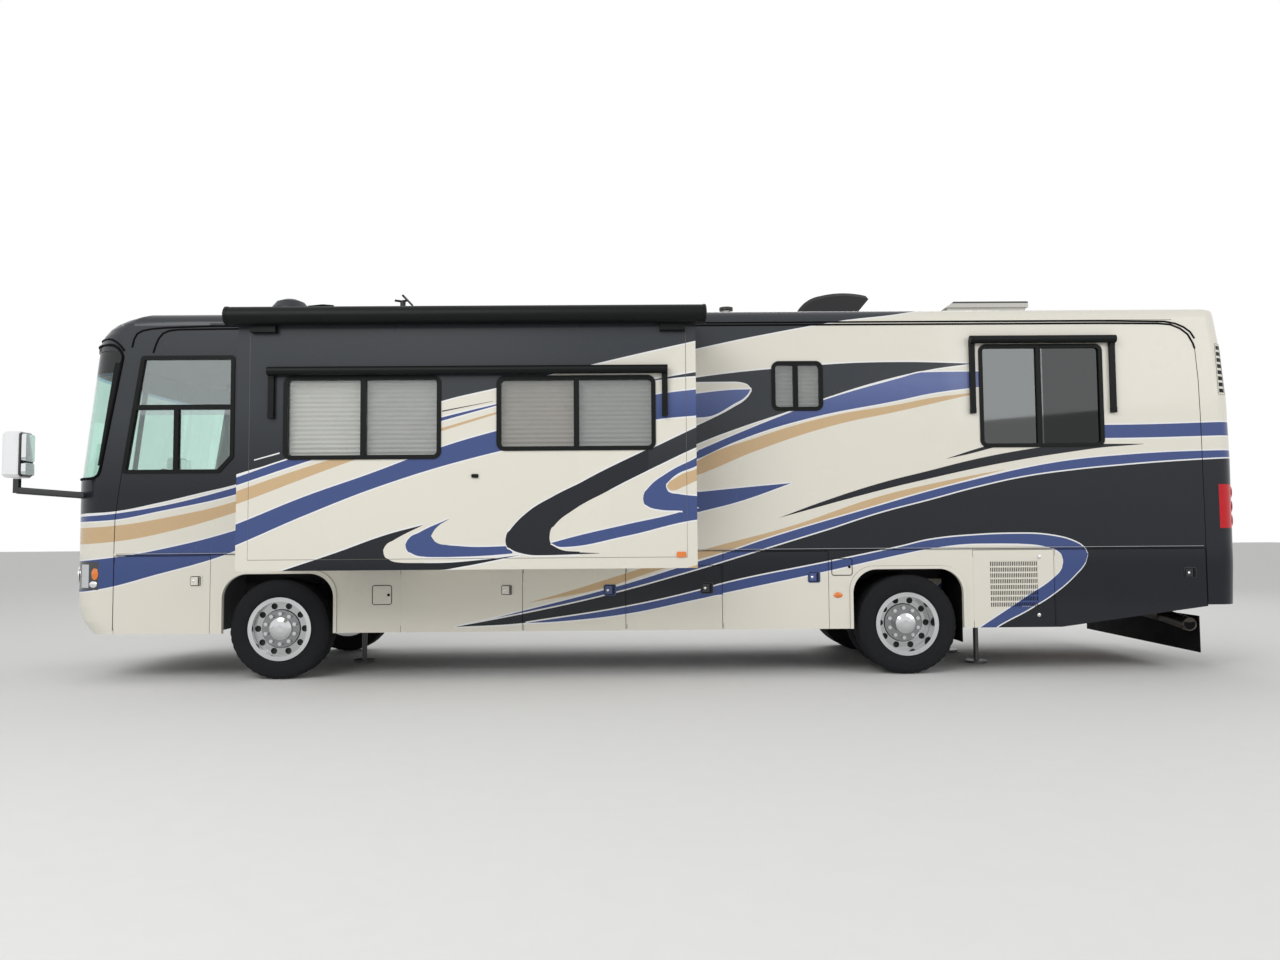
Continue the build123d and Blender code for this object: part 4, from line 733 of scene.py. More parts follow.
# Wheels: the disc and the face of the hub cover are darker than the flange, a painted reflection of the dark
# ground
RIM_DULL_REFLECTION = (0.46, 0.465, 0.47)
RIM_DARK_REFLECTION = (0.26, 0.265, 0.27)
rim_painted_reflection = by_place("polished_aluminium", (0.68, 0.69, 0.70),
                    ((RIM_DULL_REFLECTION, (-4, 1.150, 0), (-3, 1.175, 1)), (RIM_DARK_REFLECTION, (-4, 1.175, 0), (-3, 1.1825, 1)),
                     (RIM_DULL_REFLECTION, (2, 1.040, 0), (3, 1.0725, 1)), (RIM_DARK_REFLECTION, (2, 1.0725, 0), (3, 1.0805, 1))),
                    0.13, metallic=1.0)
# Floor boards above, dark underside below
deck = by_place("deck", (0.22, 0.15, 0.09), (((0.018, 0.018, 0.018), (-6, -1, 0), (6, 2, 1.1375)),), 0.7,
                bump=0.0006)
# Roof fittings: black dish and antenna mast, dark tops of the pipe's cap and of the vent's lid
white_plastic = by_place("white_plastic", (0.62, 0.61, 0.58),
                         ((BLACK, (-4.2, -1, 3.5), (-3.5, 1, 4)), (BLACK, (-2.8, -1, 3.5), (-2.5, 1, 4)),
                          ((0.02, 0.02, 0.02), (0.8, -1, 3.79), (1.0, 1, 4)),
                          ((0.03, 0.032, 0.035), (2.9, -1, 3.782), (4.3, 1, 4))), 0.45, bump=0.0004)
# Mirrors: bright in front, black arms and backs
mirror_shell = by_place("mirror_shell", (0.012, 0.013, 0.016),
                        (((0.86, 0.87, 0.88), (-6, 1.42, 1.90), (-5.735, 1.8, 2.4)),), 0.22, coat=0.4)
# Windshield and entry door: shade band near the top, dark edge above it
cab_glass = glass("cab_glass", (0.86, 0.97, 0.93), 0.05,
                  (((0.55, 0.72, 0.80), (-6, -1, 2.90), (-4.9, 2, 2.97), 0.0),
                   ((0.10, 0.11, 0.14), (-6, -1, 2.93), (-4.9, 2, 3.3), -0.03)))
# Side windows: clear cab pane that mirrors the sky in its upper half, galley pane, two dark bedroom panes
side_glass = glass("side_glass", (0.62, 0.63, 0.64), 0.08,
                   (((0.86, 0.95, 0.92), (-5.1, -1, 1.9), (-3.9, 1.4, 3.1), 0.0),
                    ((0.72, 0.79, 0.78), (-5.1, -1, 2.52), (-3.9, 1.4, 3.1), 0.14),
                    ((0.80, 0.80, 0.80), (1.1, -1, 2.4), (1.8, 2, 3.1), 0.0),
                    ((0.12, 0.12, 0.12), (3.1, -1, 2.1), (3.82, 2, 3.2), 0.0),
                    ((0.05, 0.05, 0.05), (3.82, -1, 2.1), (4.5, 2, 3.2), -0.075)))
# Slide-out windows: a zone for each pane whose tint differs from the rest
slide_glass = glass("slide_glass", (0.90, 0.90, 0.90), 0.08,
                    (((0.97, 0.97, 0.96), (-3.2, -1, 1.9), (-2.47, 3, 3), 0.0),
                     ((0.84, 0.82, 0.80), (-1.4, -1, 1.9), (-0.62, 3, 3), 0.0),
                     ((0.82, 0.82, 0.82), (-0.62, -1, 1.9), (0.2, 3, 3), 0.0)))
# Headlamps: dark glass with a pale part round the corner
lamp_glass = by_place("lamp_glass", (0.05, 0.052, 0.056),
                      (((0.60, 0.62, 0.64), (-5.40, 1.0, 0.88), (-5.30, 1.4, 1.10)),), 0.08, coat=1.0)

storage_doors = [name for name in NODES if name.startswith("door_")]
dress(body_paint, "front_cap", "rear_cap", "rear_bumper", "engine_lid", "left_wall", "right_wall",
      "left_skirt", "right_skirt", "entry_door", "roof", *storage_doors)
dress(slide_paint, "slide_room")
dress(black_metal, "window_frames", "slide_window_frames", "slide_awnings", "body_awnings", "front_grille")
dress(shell_plastic, "roof_air_conditioner")
dress(white_plastic, "roof_fittings")
dress(mirror_shell, "mirrors")
dress(dash_plastic, "dashboard", "steering_wheel")
dress(black_rubber, "mud_flaps", "air_springs")
dress(rim_painted_reflection, "rim_front_left", "rim_front_right", "rims_rear_left", "rims_rear_right")
dress(steel, "chassis_frame")
dress(iron, "front_axle", "rear_axle", "knuckle_left", "knuckle_right")
dress(engine_paint, "engine_block")
dress(stainless, "exhaust")
dress(galvanised, "levelling_jacks")
dress(bay_lining, "basement", "wheel_wells")
dress(deck, "cabin_floor")
dress(cab_glass, "windshield", "entry_door_glass")
dress(side_glass, "window_glass")
dress(slide_glass, "slide_window_glass")
dress(lamp_glass, "headlamps")
dress(red_lens, "tail_lamps")


# Wheels

# Half of the tyre's section, from the middle of the tread to the bead: distance from the middle, radius
TYRE_SECTION = ((0.0, 0.4745), (0.018, 0.4745), (0.020, 0.463), (0.028, 0.463), (0.030, 0.4742),
                (0.058, 0.4738), (0.060, 0.463), (0.068, 0.463), (0.070, 0.4735), (0.100, 0.4725),
                (0.108, 0.4715), (0.116, 0.466), (0.123, 0.455), (0.129, 0.438), (0.1315, 0.4375),
                (0.1345, 0.415), (0.1368, 0.392), (0.1368, 0.378), (0.135, 0.355), (0.131, 0.336),
                (0.1325, 0.334), (0.1295, 0.322), (0.121, 0.306), (0.113, 0.301), (0.107, 0.287))
TREAD_PITCHES = 120
SIPE_EVERY = 3
SIPE_DEPTH = 0.005
SHOULDER_FROM = 0.099
SHOULDER_TO = 0.118
# piece, CAD node in whose place it stands, body, axle's x, distances of the tyres from the middle
TREADS = (("tread_front", "tyre_front", "wheel_front", FRONT_AXLE_X, (WHEEL_Y,)),
          ("treads_rear", "tyres_rear", "wheels_rear", REAR_AXLE_X, (WHEEL_Y, WHEEL_Y - TWIN_SPACING)))
# body, axle's x, inner face of the brake drum
DRUMS = (("wheel_front", FRONT_AXLE_X, 1.095), ("wheels_rear", REAR_AXLE_X, 0.985))
DRUM_WIDTH = 0.045
DRUM_BORE_R = 0.135
DRUM_R = 0.254


def sipes(i, along, radius):
    """Notches across the shoulder ribs of the tread."""
    notched = i % SIPE_EVERY == 0 and SHOULDER_FROM < abs(along) < SHOULDER_TO
    return radius - SIPE_DEPTH if notched else radius


section = [(-w, r) for w, r in reversed(TYRE_SECTION[1:])] + list(TYRE_SECTION)
for side, hand in HANDS:
    for name, node_name, body, x, places in TREADS:
        bm = bmesh.new()
        for y in places:
            lathe(bm, section, (x, side * y, TYRE_R), "Y", TREAD_PITCHES, sipes)
        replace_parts(finish_piece(f"{name}_{hand}", bm, tyre_rubber, f"{body}_{hand}"), f"{node_name}_{hand}")

    # Brake drums seen through the hand holes of the rims
    for body, x, near in DRUMS:
        bm = bmesh.new()
        inner, outer = side * near, side * (near + DRUM_WIDTH)
        lathe(bm, [(inner, DRUM_BORE_R), (inner, DRUM_R), (outer, DRUM_R), (outer, DRUM_BORE_R),
                   (inner, DRUM_BORE_R)], (x, 0, TYRE_R), "Y", 48)
        finish_piece(f"drum_{body}_{hand}", bm, iron, f"{body}_{hand}")


# Windows: pleated shades behind the glass, hung from a head rail

# side, body, face of the wall, front x, rear x, sill z, head z
SHADES = (
    (-1, "slide_out", SLIDE_FACE, -3.13, -2.49, 2.03, 2.73),
    (-1, "slide_out", SLIDE_FACE, -2.45, -1.83, 2.03, 2.73),
    (-1, "slide_out", SLIDE_FACE, -1.29, -0.65, 2.09, 2.72),
    (-1, "slide_out", SLIDE_FACE, -0.60, 0.04, 2.09, 2.72),
    (-1, "coach", HALF_WIDTH, 1.22, 1.68, 2.53, 2.99),
    (1, "coach", HALF_WIDTH, -3.27, -2.13, 2.09, 2.79),
    (1, "coach", HALF_WIDTH, -1.47, -0.33, 2.09, 2.79),
    (1, "coach", HALF_WIDTH, 1.22, 1.68, 2.53, 2.99),
    (1, "coach", HALF_WIDTH, 3.22, 4.38, 2.17, 3.14),
)
WALL_T = 0.045
FOLD_HEIGHT = 0.020
FOLD_DEPTH = 0.015
SHADE_STRIPS = 8
# Cloth: middle behind the wall's inner face, top over the window's head, lower edge under its sill
SHADE_BEHIND = 0.019
SHADE_OVER = 0.020
SHADE_UNDER = 0.005
# Head rail, and the bar at the cloth's lower edge with its faces behind the wall's inner face
RAIL_DEPTH = 0.038
RAIL_HEIGHT = 0.040
RAIL_PAST_CLOTH = 0.020
BAR_HEIGHT = 0.020
BAR_PAST_CLOTH = 0.010
BAR_BACK = 0.032
BAR_FRONT = 0.006
for number, (side, body, face, x0, x1, sill, head) in enumerate(SHADES):
    inner = face - WALL_T
    top, bottom = head + SHADE_OVER, sill - SHADE_UNDER
    bm = bmesh.new()
    slab(bm, (x0 - RAIL_PAST_CLOTH, x1 + RAIL_PAST_CLOTH), across(side, inner - RAIL_DEPTH, inner),
         (top, top + RAIL_HEIGHT))
    slab(bm, (x0 - BAR_PAST_CLOTH, x1 + BAR_PAST_CLOTH), across(side, inner - BAR_BACK, inner - BAR_FRONT),
         (bottom - BAR_HEIGHT, bottom))
    finish_piece(f"shade_rail_{number}", bm, rail_white, body, bevel=0.003)

    folds = round((top - bottom) / FOLD_HEIGHT)
    step = (top - bottom) / folds
    bm = bmesh.new()
    rows = []
    for k in range(folds + 1):
        y = side * (inner - SHADE_BEHIND + (FOLD_DEPTH / 2 if k % 2 else -FOLD_DEPTH / 2))
        rows.append([bm.verts.new((x0 + (x1 - x0) * i / SHADE_STRIPS, y, top - k * step))
                     for i in range(SHADE_STRIPS + 1)])
    bridge(bm, rows)
    shade = finish_piece(f"shade_{number}", bm, shade_cloth, body, angle=20.0)


# Slide-out: topper cloth from the wall rail to the roller, the roller's end caps, seal, trim line, fittings

TOPPER_X = (-3.56, 0.42)
# y and z of the cloth's edges, at the rail on the wall and at the top of the roller
TOPPER_WALL = (HALF_WIDTH + 0.012, 3.405)
TOPPER_ROLL = (2.20, 3.336)
TOPPER_SAG = 0.012
TOPPER_COLUMNS = 24
TOPPER_ROWS = 12
RAIL_PAST_TOPPER = 0.03
ROLLER_ENDS = ((-1, -3.625), (1, 0.49))
ROLLER_Y = 2.204
ROLLER_Z = 3.255
ROLLER_R = 0.079
# Distance outwards from the roller's end, radius
CAP_PROFILE = ((-0.012, 0.0), (-0.012, ROLLER_R + 0.004), (0.010, ROLLER_R + 0.004),
               (0.018, ROLLER_R - 0.008), (0.022, 0.030), (0.022, 0.0))
# Middle and size, in a side view, of the opening in the wall that the seal runs round
OPENING_MIDDLE = (-1.5715, 2.125)
OPENING_SIZE = (3.83, 1.99)
OPENING_CORNER = 0.03
SEAL_R = 0.0035
TRIM_PATH = ((-3.455, 3.17), (-3.455, 1.152), (0.33, 1.152), (0.33, 3.17))
TRIM_R = 0.003

bm = bmesh.new()
slab(bm, (TOPPER_X[0] - RAIL_PAST_TOPPER, TOPPER_X[1] + RAIL_PAST_TOPPER),
     across(-1, HALF_WIDTH - 0.012, HALF_WIDTH + 0.016), (3.400, 3.418))
finish_piece("topper_rail", bm, black_metal, "coach", bevel=0.003)

bm = bmesh.new()
rows = []
for j in range(TOPPER_ROWS + 1):
    share = j / TOPPER_ROWS
    y = TOPPER_WALL[0] + share * (TOPPER_ROLL[0] - TOPPER_WALL[0])
    z = TOPPER_WALL[1] + share * (TOPPER_ROLL[1] - TOPPER_WALL[1]) - TOPPER_SAG * math.sin(math.pi * share)
    rows.append([bm.verts.new((TOPPER_X[0] + (TOPPER_X[1] - TOPPER_X[0]) * i / TOPPER_COLUMNS, -y, z))
                 for i in range(TOPPER_COLUMNS + 1)])
bridge(bm, rows)
topper = finish_piece("topper_cloth", bm, vinyl, "coach")
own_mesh(topper)

bm = bmesh.new()
for outward, x in ROLLER_ENDS:
    profile = [(along * outward, radius) for along, radius in CAP_PROFILE]
    lathe(bm, profile, (x, -ROLLER_Y, ROLLER_Z), "X", 40)
finish_piece("topper_caps", bm, black_metal, "slide_out")

bm = bmesh.new()
tube(bm, on_side(-1, outline(OPENING_MIDDLE, OPENING_SIZE, OPENING_CORNER)), SEAL_R, 8, closed=True)
finish_piece("slide_seal", bm, black_rubber, "coach")

bm = bmesh.new()
tube(bm, on_side(-1, TRIM_PATH, SLIDE_FACE - TRIM_R / 2), TRIM_R, 6)
finish_piece("slide_trim", bm, trim_line, "slide_out")

bm = bmesh.new()
plate(bm, (0.2775, 1.173), (0.082, 0.048), 0.010, -1, SLIDE_FACE, 0.014)
finish_piece("slide_reflector", bm, amber, "slide_out", bevel=0.003)
bm = bmesh.new()
plate(bm, (-1.502, 1.864), (0.060, 0.032), 0.008, -1, SLIDE_FACE, 0.018)
finish_piece("slide_sensor", bm, black_metal, "slide_out", bevel=0.004)


# Doors: latches, locks, hatches and markers

# door body, side, x, z, colour
LATCHES = (
    ("door_front_left", -1, -4.274, 0.938, CREAM),
    ("door_bay_1_left", -1, -1.336, 0.830, CREAM),
    ("door_bay_2_left", -1, -0.361, 0.823, BLUE),
    ("door_bay_3_left", -1, 0.560, 0.834, BLACK),
    ("door_bay_4_left", -1, 1.579, 0.930, BLUE),
    ("door_rear_left", -1, 5.174, 0.943, BLACK),
    ("door_bay_1_right", 1, -0.361, 0.930, BLACK),
    ("door_bay_2_right", 1, 1.579, 0.930, BLUE),
    ("door_rear_right", 1, 5.174, 0.943, BLACK),
)
LATCH_SIZE = (0.118, 0.106)
PADDLE_SIZE = (0.066, 0.078)
PADDLE_GAP = (0.094, 0.084)
# Distance from the wall's face and radius, from the paddle outwards
KEY_PROFILE = ((0.0, 0.012), (0.003, 0.012), (0.005, 0.009), (0.005, 0.0))
GRILLE_LOCKS = ((3.731, 1.103), (3.714, 0.554))
LOCK_PROFILE = ((0.0, 0.017), (-0.006, 0.017), (-0.008, 0.013), (-0.008, 0.0))
# side, middle, size
HATCHES = ((-1, (-2.518, 0.7925), (0.182, 0.181)), (-1, (1.8465, 1.0235), (0.195, 0.159)),
           (1, (2.10, 1.09), (0.20, 0.15)), (1, (-2.518, 0.7925), (0.30, 0.22)))
HATCH_CORNER = 0.022
HATCH_GAP = 0.005
MARKER_X = (1.770, 1.838)
MARKER_Z = (0.742, 0.774)

for door, side, x, z, colour in LATCHES:
    word = door.removeprefix("door_")
    bm = bmesh.new()
    plate(bm, (x, z), LATCH_SIZE, 0.018, side, HALF_WIDTH - 0.001, 0.008)
    plate(bm, (x - 0.014, z), PADDLE_SIZE, 0.010, side, HALF_WIDTH + 0.007, 0.006)
    finish_piece(f"latch_{word}", bm, latch_paint[colour], door, bevel=0.0025)
    bm = bmesh.new()
    groove(bm, (x - 0.002, z), PADDLE_GAP, 0.012, side, HALF_WIDTH + 0.006)
    bar(bm, side, (x + 0.024, x + 0.036), (z - 0.036, z + 0.036), 0.004, 0.009)
    finish_piece(f"latch_gap_{word}", bm, black_rubber, door)
    bm = bmesh.new()
    lathe(bm, [(side * along, radius) for along, radius in KEY_PROFILE],
          (x - 0.020, side * (HALF_WIDTH + 0.012), z), "Y", 20)
    finish_piece(f"latch_key_{word}", bm, chrome, door)

bm = bmesh.new()
for x, z in GRILLE_LOCKS:
    lathe(bm, LOCK_PROFILE, (x, -HALF_WIDTH, z), "Y", 20)
    bar(bm, -1, (x - 0.002, x + 0.002), (z - 0.007, z + 0.007), 0.002, 0.0095)
finish_piece("grille_locks", bm, chrome, "door_grille_left")

for number, (side, (x, z), (width, height)) in enumerate(HATCHES):
    bm = bmesh.new()
    lid = (width - 2 * HATCH_GAP, height - 2 * HATCH_GAP)
    plate(bm, (x, z), lid, 0.018, side, HALF_WIDTH - 0.002, 0.005)
    finish_piece(f"hatch_{number}", bm, body_paint, "coach", bevel=0.0015)
    bm = bmesh.new()
    groove(bm, (x, z), (width, height), HATCH_CORNER, side, HALF_WIDTH, 0.0035)
    lathe(bm, [(0.0, 0.013), (side * 0.006, 0.013), (side * 0.007, 0.0)],
          (x + width / 2 - 0.028, side * (HALF_WIDTH + 0.002), z), "Y", 20)
    finish_piece(f"hatch_seal_{number}", bm, black_rubber, "coach")

for side, hand in HANDS:
    bm = bmesh.new()
    bar(bm, side, MARKER_X, MARKER_Z, -0.002, 0.004)
    finish_piece(f"marker_base_{hand}", bm, chrome, "coach", bevel=0.003)
    bm = bmesh.new()
    found = from_side(surface(f"{hand}_skirt"), side, sum(MARKER_X) / 2, sum(MARKER_Z) / 2)
    lens(bm, found, (0.086, 0.052), 0.016)
    finish_piece(f"side_marker_{hand}", bm, amber, "coach")


# Lines of the walls: drip lines with swept ends and seams at the caps; painted shadow and painted highlight
# along the belt rail; painted shadow round the arches' lips

# x and z along each line
UPPER_DRIP = ((-4.922, 3.170), (-4.905, 3.250), (-4.875, 3.304), (-4.825, 3.332), (-4.730, 3.350),
              (-4.604, 3.359), (-4.47, 3.364), (-4.2, 3.372), (0.57, 3.379), (2.453, 3.379), (4.392, 3.376),
              (5.014, 3.366), (5.12, 3.345), (5.20, 3.310), (5.262, 3.262), (5.300, 3.200))
LOWER_DRIP = ((-4.719, 3.116), (-4.70, 3.184), (-4.673, 3.251), (-4.631, 3.305), (-4.565, 3.332),
              (-4.47, 3.341), (-4.053, 3.345), (0.57, 3.353), (4.392, 3.352), (4.95, 3.346), (5.07, 3.336),
              (5.164, 3.297), (5.236, 3.240), (5.283, 3.154), (5.300, 3.100))
FRONT_SEAM = ((-4.995, 1.98), (-5.026, 1.739), (-5.05, 1.523), (-5.053, 1.30), (-5.052, 0.48))
REAR_SEAM = ((5.30, 3.10), (5.322, 2.80), (5.331, 2.40), (5.335, 1.60), (5.336, 0.66))
DRIP_R = 0.009
SEAM_R = 0.0035
# side, body, ends in x
BELTS = ((-1, "coach", (-5.03, -3.60)), (-1, "coach", (0.455, 5.31)), (1, "coach", (-4.16, 5.31)),
         (1, "entry_door", (-4.92, -4.22)))
# Heights of the dark strip low on the belt rail, a painted shadow, and of the grey strip on its top, a painted
# highlight
BELT_SHADOW_Z = (1.183, 1.190)
BELT_HIGHLIGHT_Z = (1.196, 1.201)
# Arch: half its width, height of its top and of its feet, radius of its corners
ARCH_HALF = 0.555
ARCH_TOP = 1.030
ARCH_FOOT = 0.445
ARCH_R = 0.230
ARCH_STEPS = 8
# Radius of the dark line round each arch's lip, a painted shadow
ARCH_SHADOW_R = 0.003


def arch(axle_x):
    """x and z along the outer edge of a wheel arch's lip, from its front foot to its rear one."""
    path = [(axle_x - ARCH_HALF, ARCH_FOOT)]
    for sign, start in ((-1, 180), (1, 90)):
        for k in range(ARCH_STEPS + 1):
            angle = math.radians(start - k * 90 / ARCH_STEPS)
            path.append((axle_x + sign * (ARCH_HALF - ARCH_R) + ARCH_R * math.cos(angle),
                         ARCH_TOP - ARCH_R + ARCH_R * math.sin(angle)))
    return path + [(axle_x + ARCH_HALF, ARCH_FOOT)]


# piece, material, radius, how far its middle stands off the wall's face, segments, paths
WALL_LINES = (
    ("drip_lines", black_rubber, DRIP_R, 0.001, 8, (UPPER_DRIP, LOWER_DRIP)),
    ("cap_seams", black_rubber, SEAM_R, -0.001, 6, (FRONT_SEAM, REAR_SEAM)),
    ("arch_shadow_lines", shadow_line, ARCH_SHADOW_R, 0.0, 6, (arch(FRONT_AXLE_X), arch(REAR_AXLE_X))),
)
for name, material, radius, lift, segments, paths in WALL_LINES:
    bm = bmesh.new()
    for path in paths:
        for side in SIDES:
            tube(bm, on_side(side, path, HALF_WIDTH + lift), radius, segments)
    finish_piece(name, bm, material, "coach")

for number, (side, body, ends) in enumerate(BELTS):
    # Dark strip: painted shadow on the lower part of the rail; grey strip: painted highlight on its top
    bm = bmesh.new()
    bar(bm, side, ends, BELT_SHADOW_Z, 0.005, 0.0075)
    finish_piece(f"belt_shadow_{number}", bm, black_rubber, body)
    bm = bmesh.new()
    bar(bm, side, ends, BELT_HIGHLIGHT_Z, 0.005, 0.0068)
    finish_piece(f"belt_highlight_{number}", bm, belt_highlight, body)


# Windshield: gasket, dark edge of the glass and the line above it

nose = surface("front_cap")
pane = surface("windshield")
# Nose corner in plan: its centre lies at NOSE_MIDDLE_Y and moves back with height
NOSE_MIDDLE_X = -4.98
NOSE_MIDDLE_Y = 0.925
NOSE_LEAN = 0.116
GASKET_TOP_Z = 3.203
GASKET_LOW_Z = 1.916
GASKET_TOP_TAIL = ((-5.15, 3.202), (-5.10, 3.192), (-5.055, 3.165), (-5.022, 3.125), (-5.006, 3.08))
GASKET_LOW_TAIL = ((-5.34, 1.916), (-5.30, 1.917), (-5.26, 1.924), (-5.225, 1.945), (-5.205, 1.985))
GASKET_R = 0.014
EDGE_STEPS = 16
EYEBROW_Z = 3.262
EYEBROW_TAIL = ((-5.17, 3.262), (-5.12, 3.250), (-5.07, 3.222), (-5.03, 3.185), (-4.995, 3.140))
EYEBROW_R = 0.011
# Dark edge of the glass: its lower border along the top and its lift. Along the sides, how far ahead of the
# gasket it starts and ends, and how much narrower it gets down to the foot
DARK_LOW_Z = 3.155
DARK_LIFT = 0.004
DARK_INSET = 0.016
DARK_WIDE = 0.070
DARK_NARROWS = 0.032


def nose_path(side, z, tail, lift=0.001):
    """Points on the nose at one height, from its middle round the corner, then at the tail's x, z spots."""
    found = [from_front(nose, side * NOSE_MIDDLE_Y * k / 12, z) for k in range(13)]
    centre = Vector((NOSE_MIDDLE_X - (GASKET_TOP_Z - z) * NOSE_LEAN, side * NOSE_MIDDLE_Y, z))
    for degrees in (10, 20, 30, 40):
        angle = math.radians(degrees)
        out = Vector((-math.cos(angle), side * math.sin(angle), 0))
        found.append(hit(nose, centre + 2 * out, -out))
    found += [from_side(nose, side, x, height) for x, height in tail]
    return [off(spot, lift) for spot in found]


def side_edge(shell, side, share, forward=0.0):
    """Point of a shell on the windshield's slanted side edge, at a share of the way down, moved forward."""
    (x0, z0), (x1, z1) = GASKET_TOP_TAIL[-1], GASKET_LOW_TAIL[-1]
    return off(from_side(shell, side, x0 + share * (x1 - x0) - forward, z0 + share * (z1 - z0)), 0.002)


def ribbon(bm, *rows):
    """Strip of faces between rows of points."""
    bridge(bm, [[bm.verts.new(point) for point in row] for row in rows])


halves = []
for side in SIDES:
    sloped = [side_edge(nose, side, k / EDGE_STEPS) for k in range(1, EDGE_STEPS)]
    halves.append(nose_path(side, GASKET_TOP_Z, GASKET_TOP_TAIL) + sloped
                  + nose_path(side, GASKET_LOW_Z, GASKET_LOW_TAIL)[::-1])
left_brow, right_brow = (nose_path(side, EYEBROW_Z, EYEBROW_TAIL) for side in SIDES)
bm = bmesh.new()
tube(bm, halves[0] + halves[1][-2:0:-1], GASKET_R, 8, closed=True)
tube(bm, left_brow[::-1] + right_brow[1:], EYEBROW_R, 8)
finish_piece("windshield_gasket", bm, black_rubber, "coach")

bm = bmesh.new()
down = [k / EDGE_STEPS for k in range(EDGE_STEPS + 1)]
for side in SIDES:
    ribbon(bm, nose_path(side, DARK_LOW_Z, (), DARK_LIFT), nose_path(side, GASKET_TOP_Z, (), DARK_LIFT))
    ribbon(bm, [side_edge(pane, side, 0.05 + 0.9 * k, DARK_INSET) for k in down],
           [side_edge(pane, side, 0.05 + 0.9 * k, DARK_WIDE - DARK_NARROWS * k) for k in down])
finish_piece("windshield_edge", bm, black_metal, "coach")


# Lamps

lamp_face = surface("headlamps")
tail = surface("rear_cap")
tail_lamp = surface("tail_lamps")
# distance from the middle, diameter
HEADLAMP_BOWLS = ((1.06, 0.17), (0.87, 0.15))
HEADLAMP_Z = 0.992
CLEARANCE_Y = (-0.95, -0.17, 0, 0.17, 0.95)
CLEARANCE_SIZE = (0.075, 0.032)
TAIL_DISC_Y = 1.13
TAIL_DISC_Z = (1.44, 1.577, 1.714)


def lamps(name, material, found, size, proud):
    """Lenses of one size at every spot where a ray has met a surface."""
    bm = bmesh.new()
    for spot in found:
        lens(bm, spot, size, proud)
    finish_piece(name, bm, material, "coach")


bm = bmesh.new()
for side in SIDES:
    for y, size in HEADLAMP_BOWLS:
        lens(bm, from_front(lamp_face, side * y, HEADLAMP_Z), (size, size), 0.012)
finish_piece("headlamp_bowls", bm, reflector, "coach")
lamps("front_indicators", amber, [from_side(lamp_face, side, -5.230, 1.01) for side in SIDES], (0.070, 0.11),
      0.010)
lamps("side_lamp_bowls", reflector, [from_side(lamp_face, side, -5.245, 0.912) for side in SIDES],
      (0.080, 0.060), 0.010)
lamps("clearance_lamps_front", amber, [from_front(nose, y, 3.30) for y in CLEARANCE_Y], CLEARANCE_SIZE, 0.018)
lamps("clearance_lamps_rear", red_small, [from_rear(tail, y, 3.27) for y in CLEARANCE_Y], CLEARANCE_SIZE,
      0.018)
discs = [from_rear(tail_lamp, side * TAIL_DISC_Y, z) for side in SIDES for z in TAIL_DISC_Z]
lamps("tail_lamp_discs", red_small, discs, (0.12, 0.12), 0.010)


# Louvred vent on each rear corner, in a frame that leans with it

# x of the vent's front edge at its foot and head, its height, and the frame's corners in shares of both
VENT_X = (5.527, 5.515)
VENT_Z = (2.692, 3.112)
VENT_WIDTH = 0.058
VENT_SLOTS = 8
VENT_FRAME = ((-0.2, -0.09), (1.2, -0.09), (1.2, 1.09), (-0.2, 1.09))
SLOT_HALF = 0.044


def vent_spot(side, across_share, up_share, lift):
    """Point on the rear corner at a share of the vent's width and height."""
    x = VENT_X[0] + up_share * (VENT_X[1] - VENT_X[0]) + across_share * VENT_WIDTH
    return off(from_side(tail, side, x, VENT_Z[0] + up_share * (VENT_Z[1] - VENT_Z[0])), lift)


slots, border = bmesh.new(), bmesh.new()
for side in SIDES:
    for k in range(VENT_SLOTS):
        middle = k / (VENT_SLOTS - 1)
        ribbon(slots, *([vent_spot(side, i / 4, share, 0.002) for i in range(5)]
                        for share in (middle - SLOT_HALF, middle + SLOT_HALF)))
    edge = []
    for (u0, v0), (u1, v1) in zip(VENT_FRAME, VENT_FRAME[1:] + VENT_FRAME[:1]):
        edge += [vent_spot(side, u0 + (u1 - u0) * i / 8, v0 + (v1 - v0) * i / 8, 0.001) for i in range(8)]
    tube(border, edge, 0.002, 6, closed=True)
finish_piece("rear_vents", slots, black_metal, "coach")
finish_piece("rear_vent_frames", border, trim_line, "coach")


# Wipers, mirror panes and the louvres of the engine lid

WIPER_PIVOT = (0.62, 1.86)
PIVOT_PROFILE = ((-0.01, 0.022), (0.02, 0.022), (0.024, 0.0))
ARM_RISE = 0.018
ARM_R = 0.006
BLADE_R = 0.008
# first y and z, steps in y and z, number of points, how far they stand off the glass
WIPER_ARM = (0.545, 1.965, -0.075, 0.010, 6, 0.030)
WIPER_BLADE = (0.68, 1.975, -0.050, 0.004, 13, 0.012)
# height range of each pane of a mirror
MIRROR_PANES = ((2.06, 2.31), (1.935, 2.045))
MIRROR_Y = 1.55
PANE_WIDTH = 0.19
PANE_INNER_Y = MIRROR_Y - PANE_WIDTH / 2
PANE_BACK_X = -5.716
PANE_T = 0.005
MIRROR_TILT = 0.19
LOUVRES = 9
LOUVRE_LOW_Z = 1.20
LOUVRE_PITCH = 0.045
LOUVRE_STARTS = (-0.46, 0.06)
LOUVRE_LENGTH = 0.40
OFF_LID = Vector((0.003, 0, 0))


def over_glass(side, y, z, step_y, step_z, count, lift):
    """Row of points that stand off the windshield."""
    return [off(from_front(pane, side * (y + step_y * k), z + step_z * k), lift) for k in range(count)]


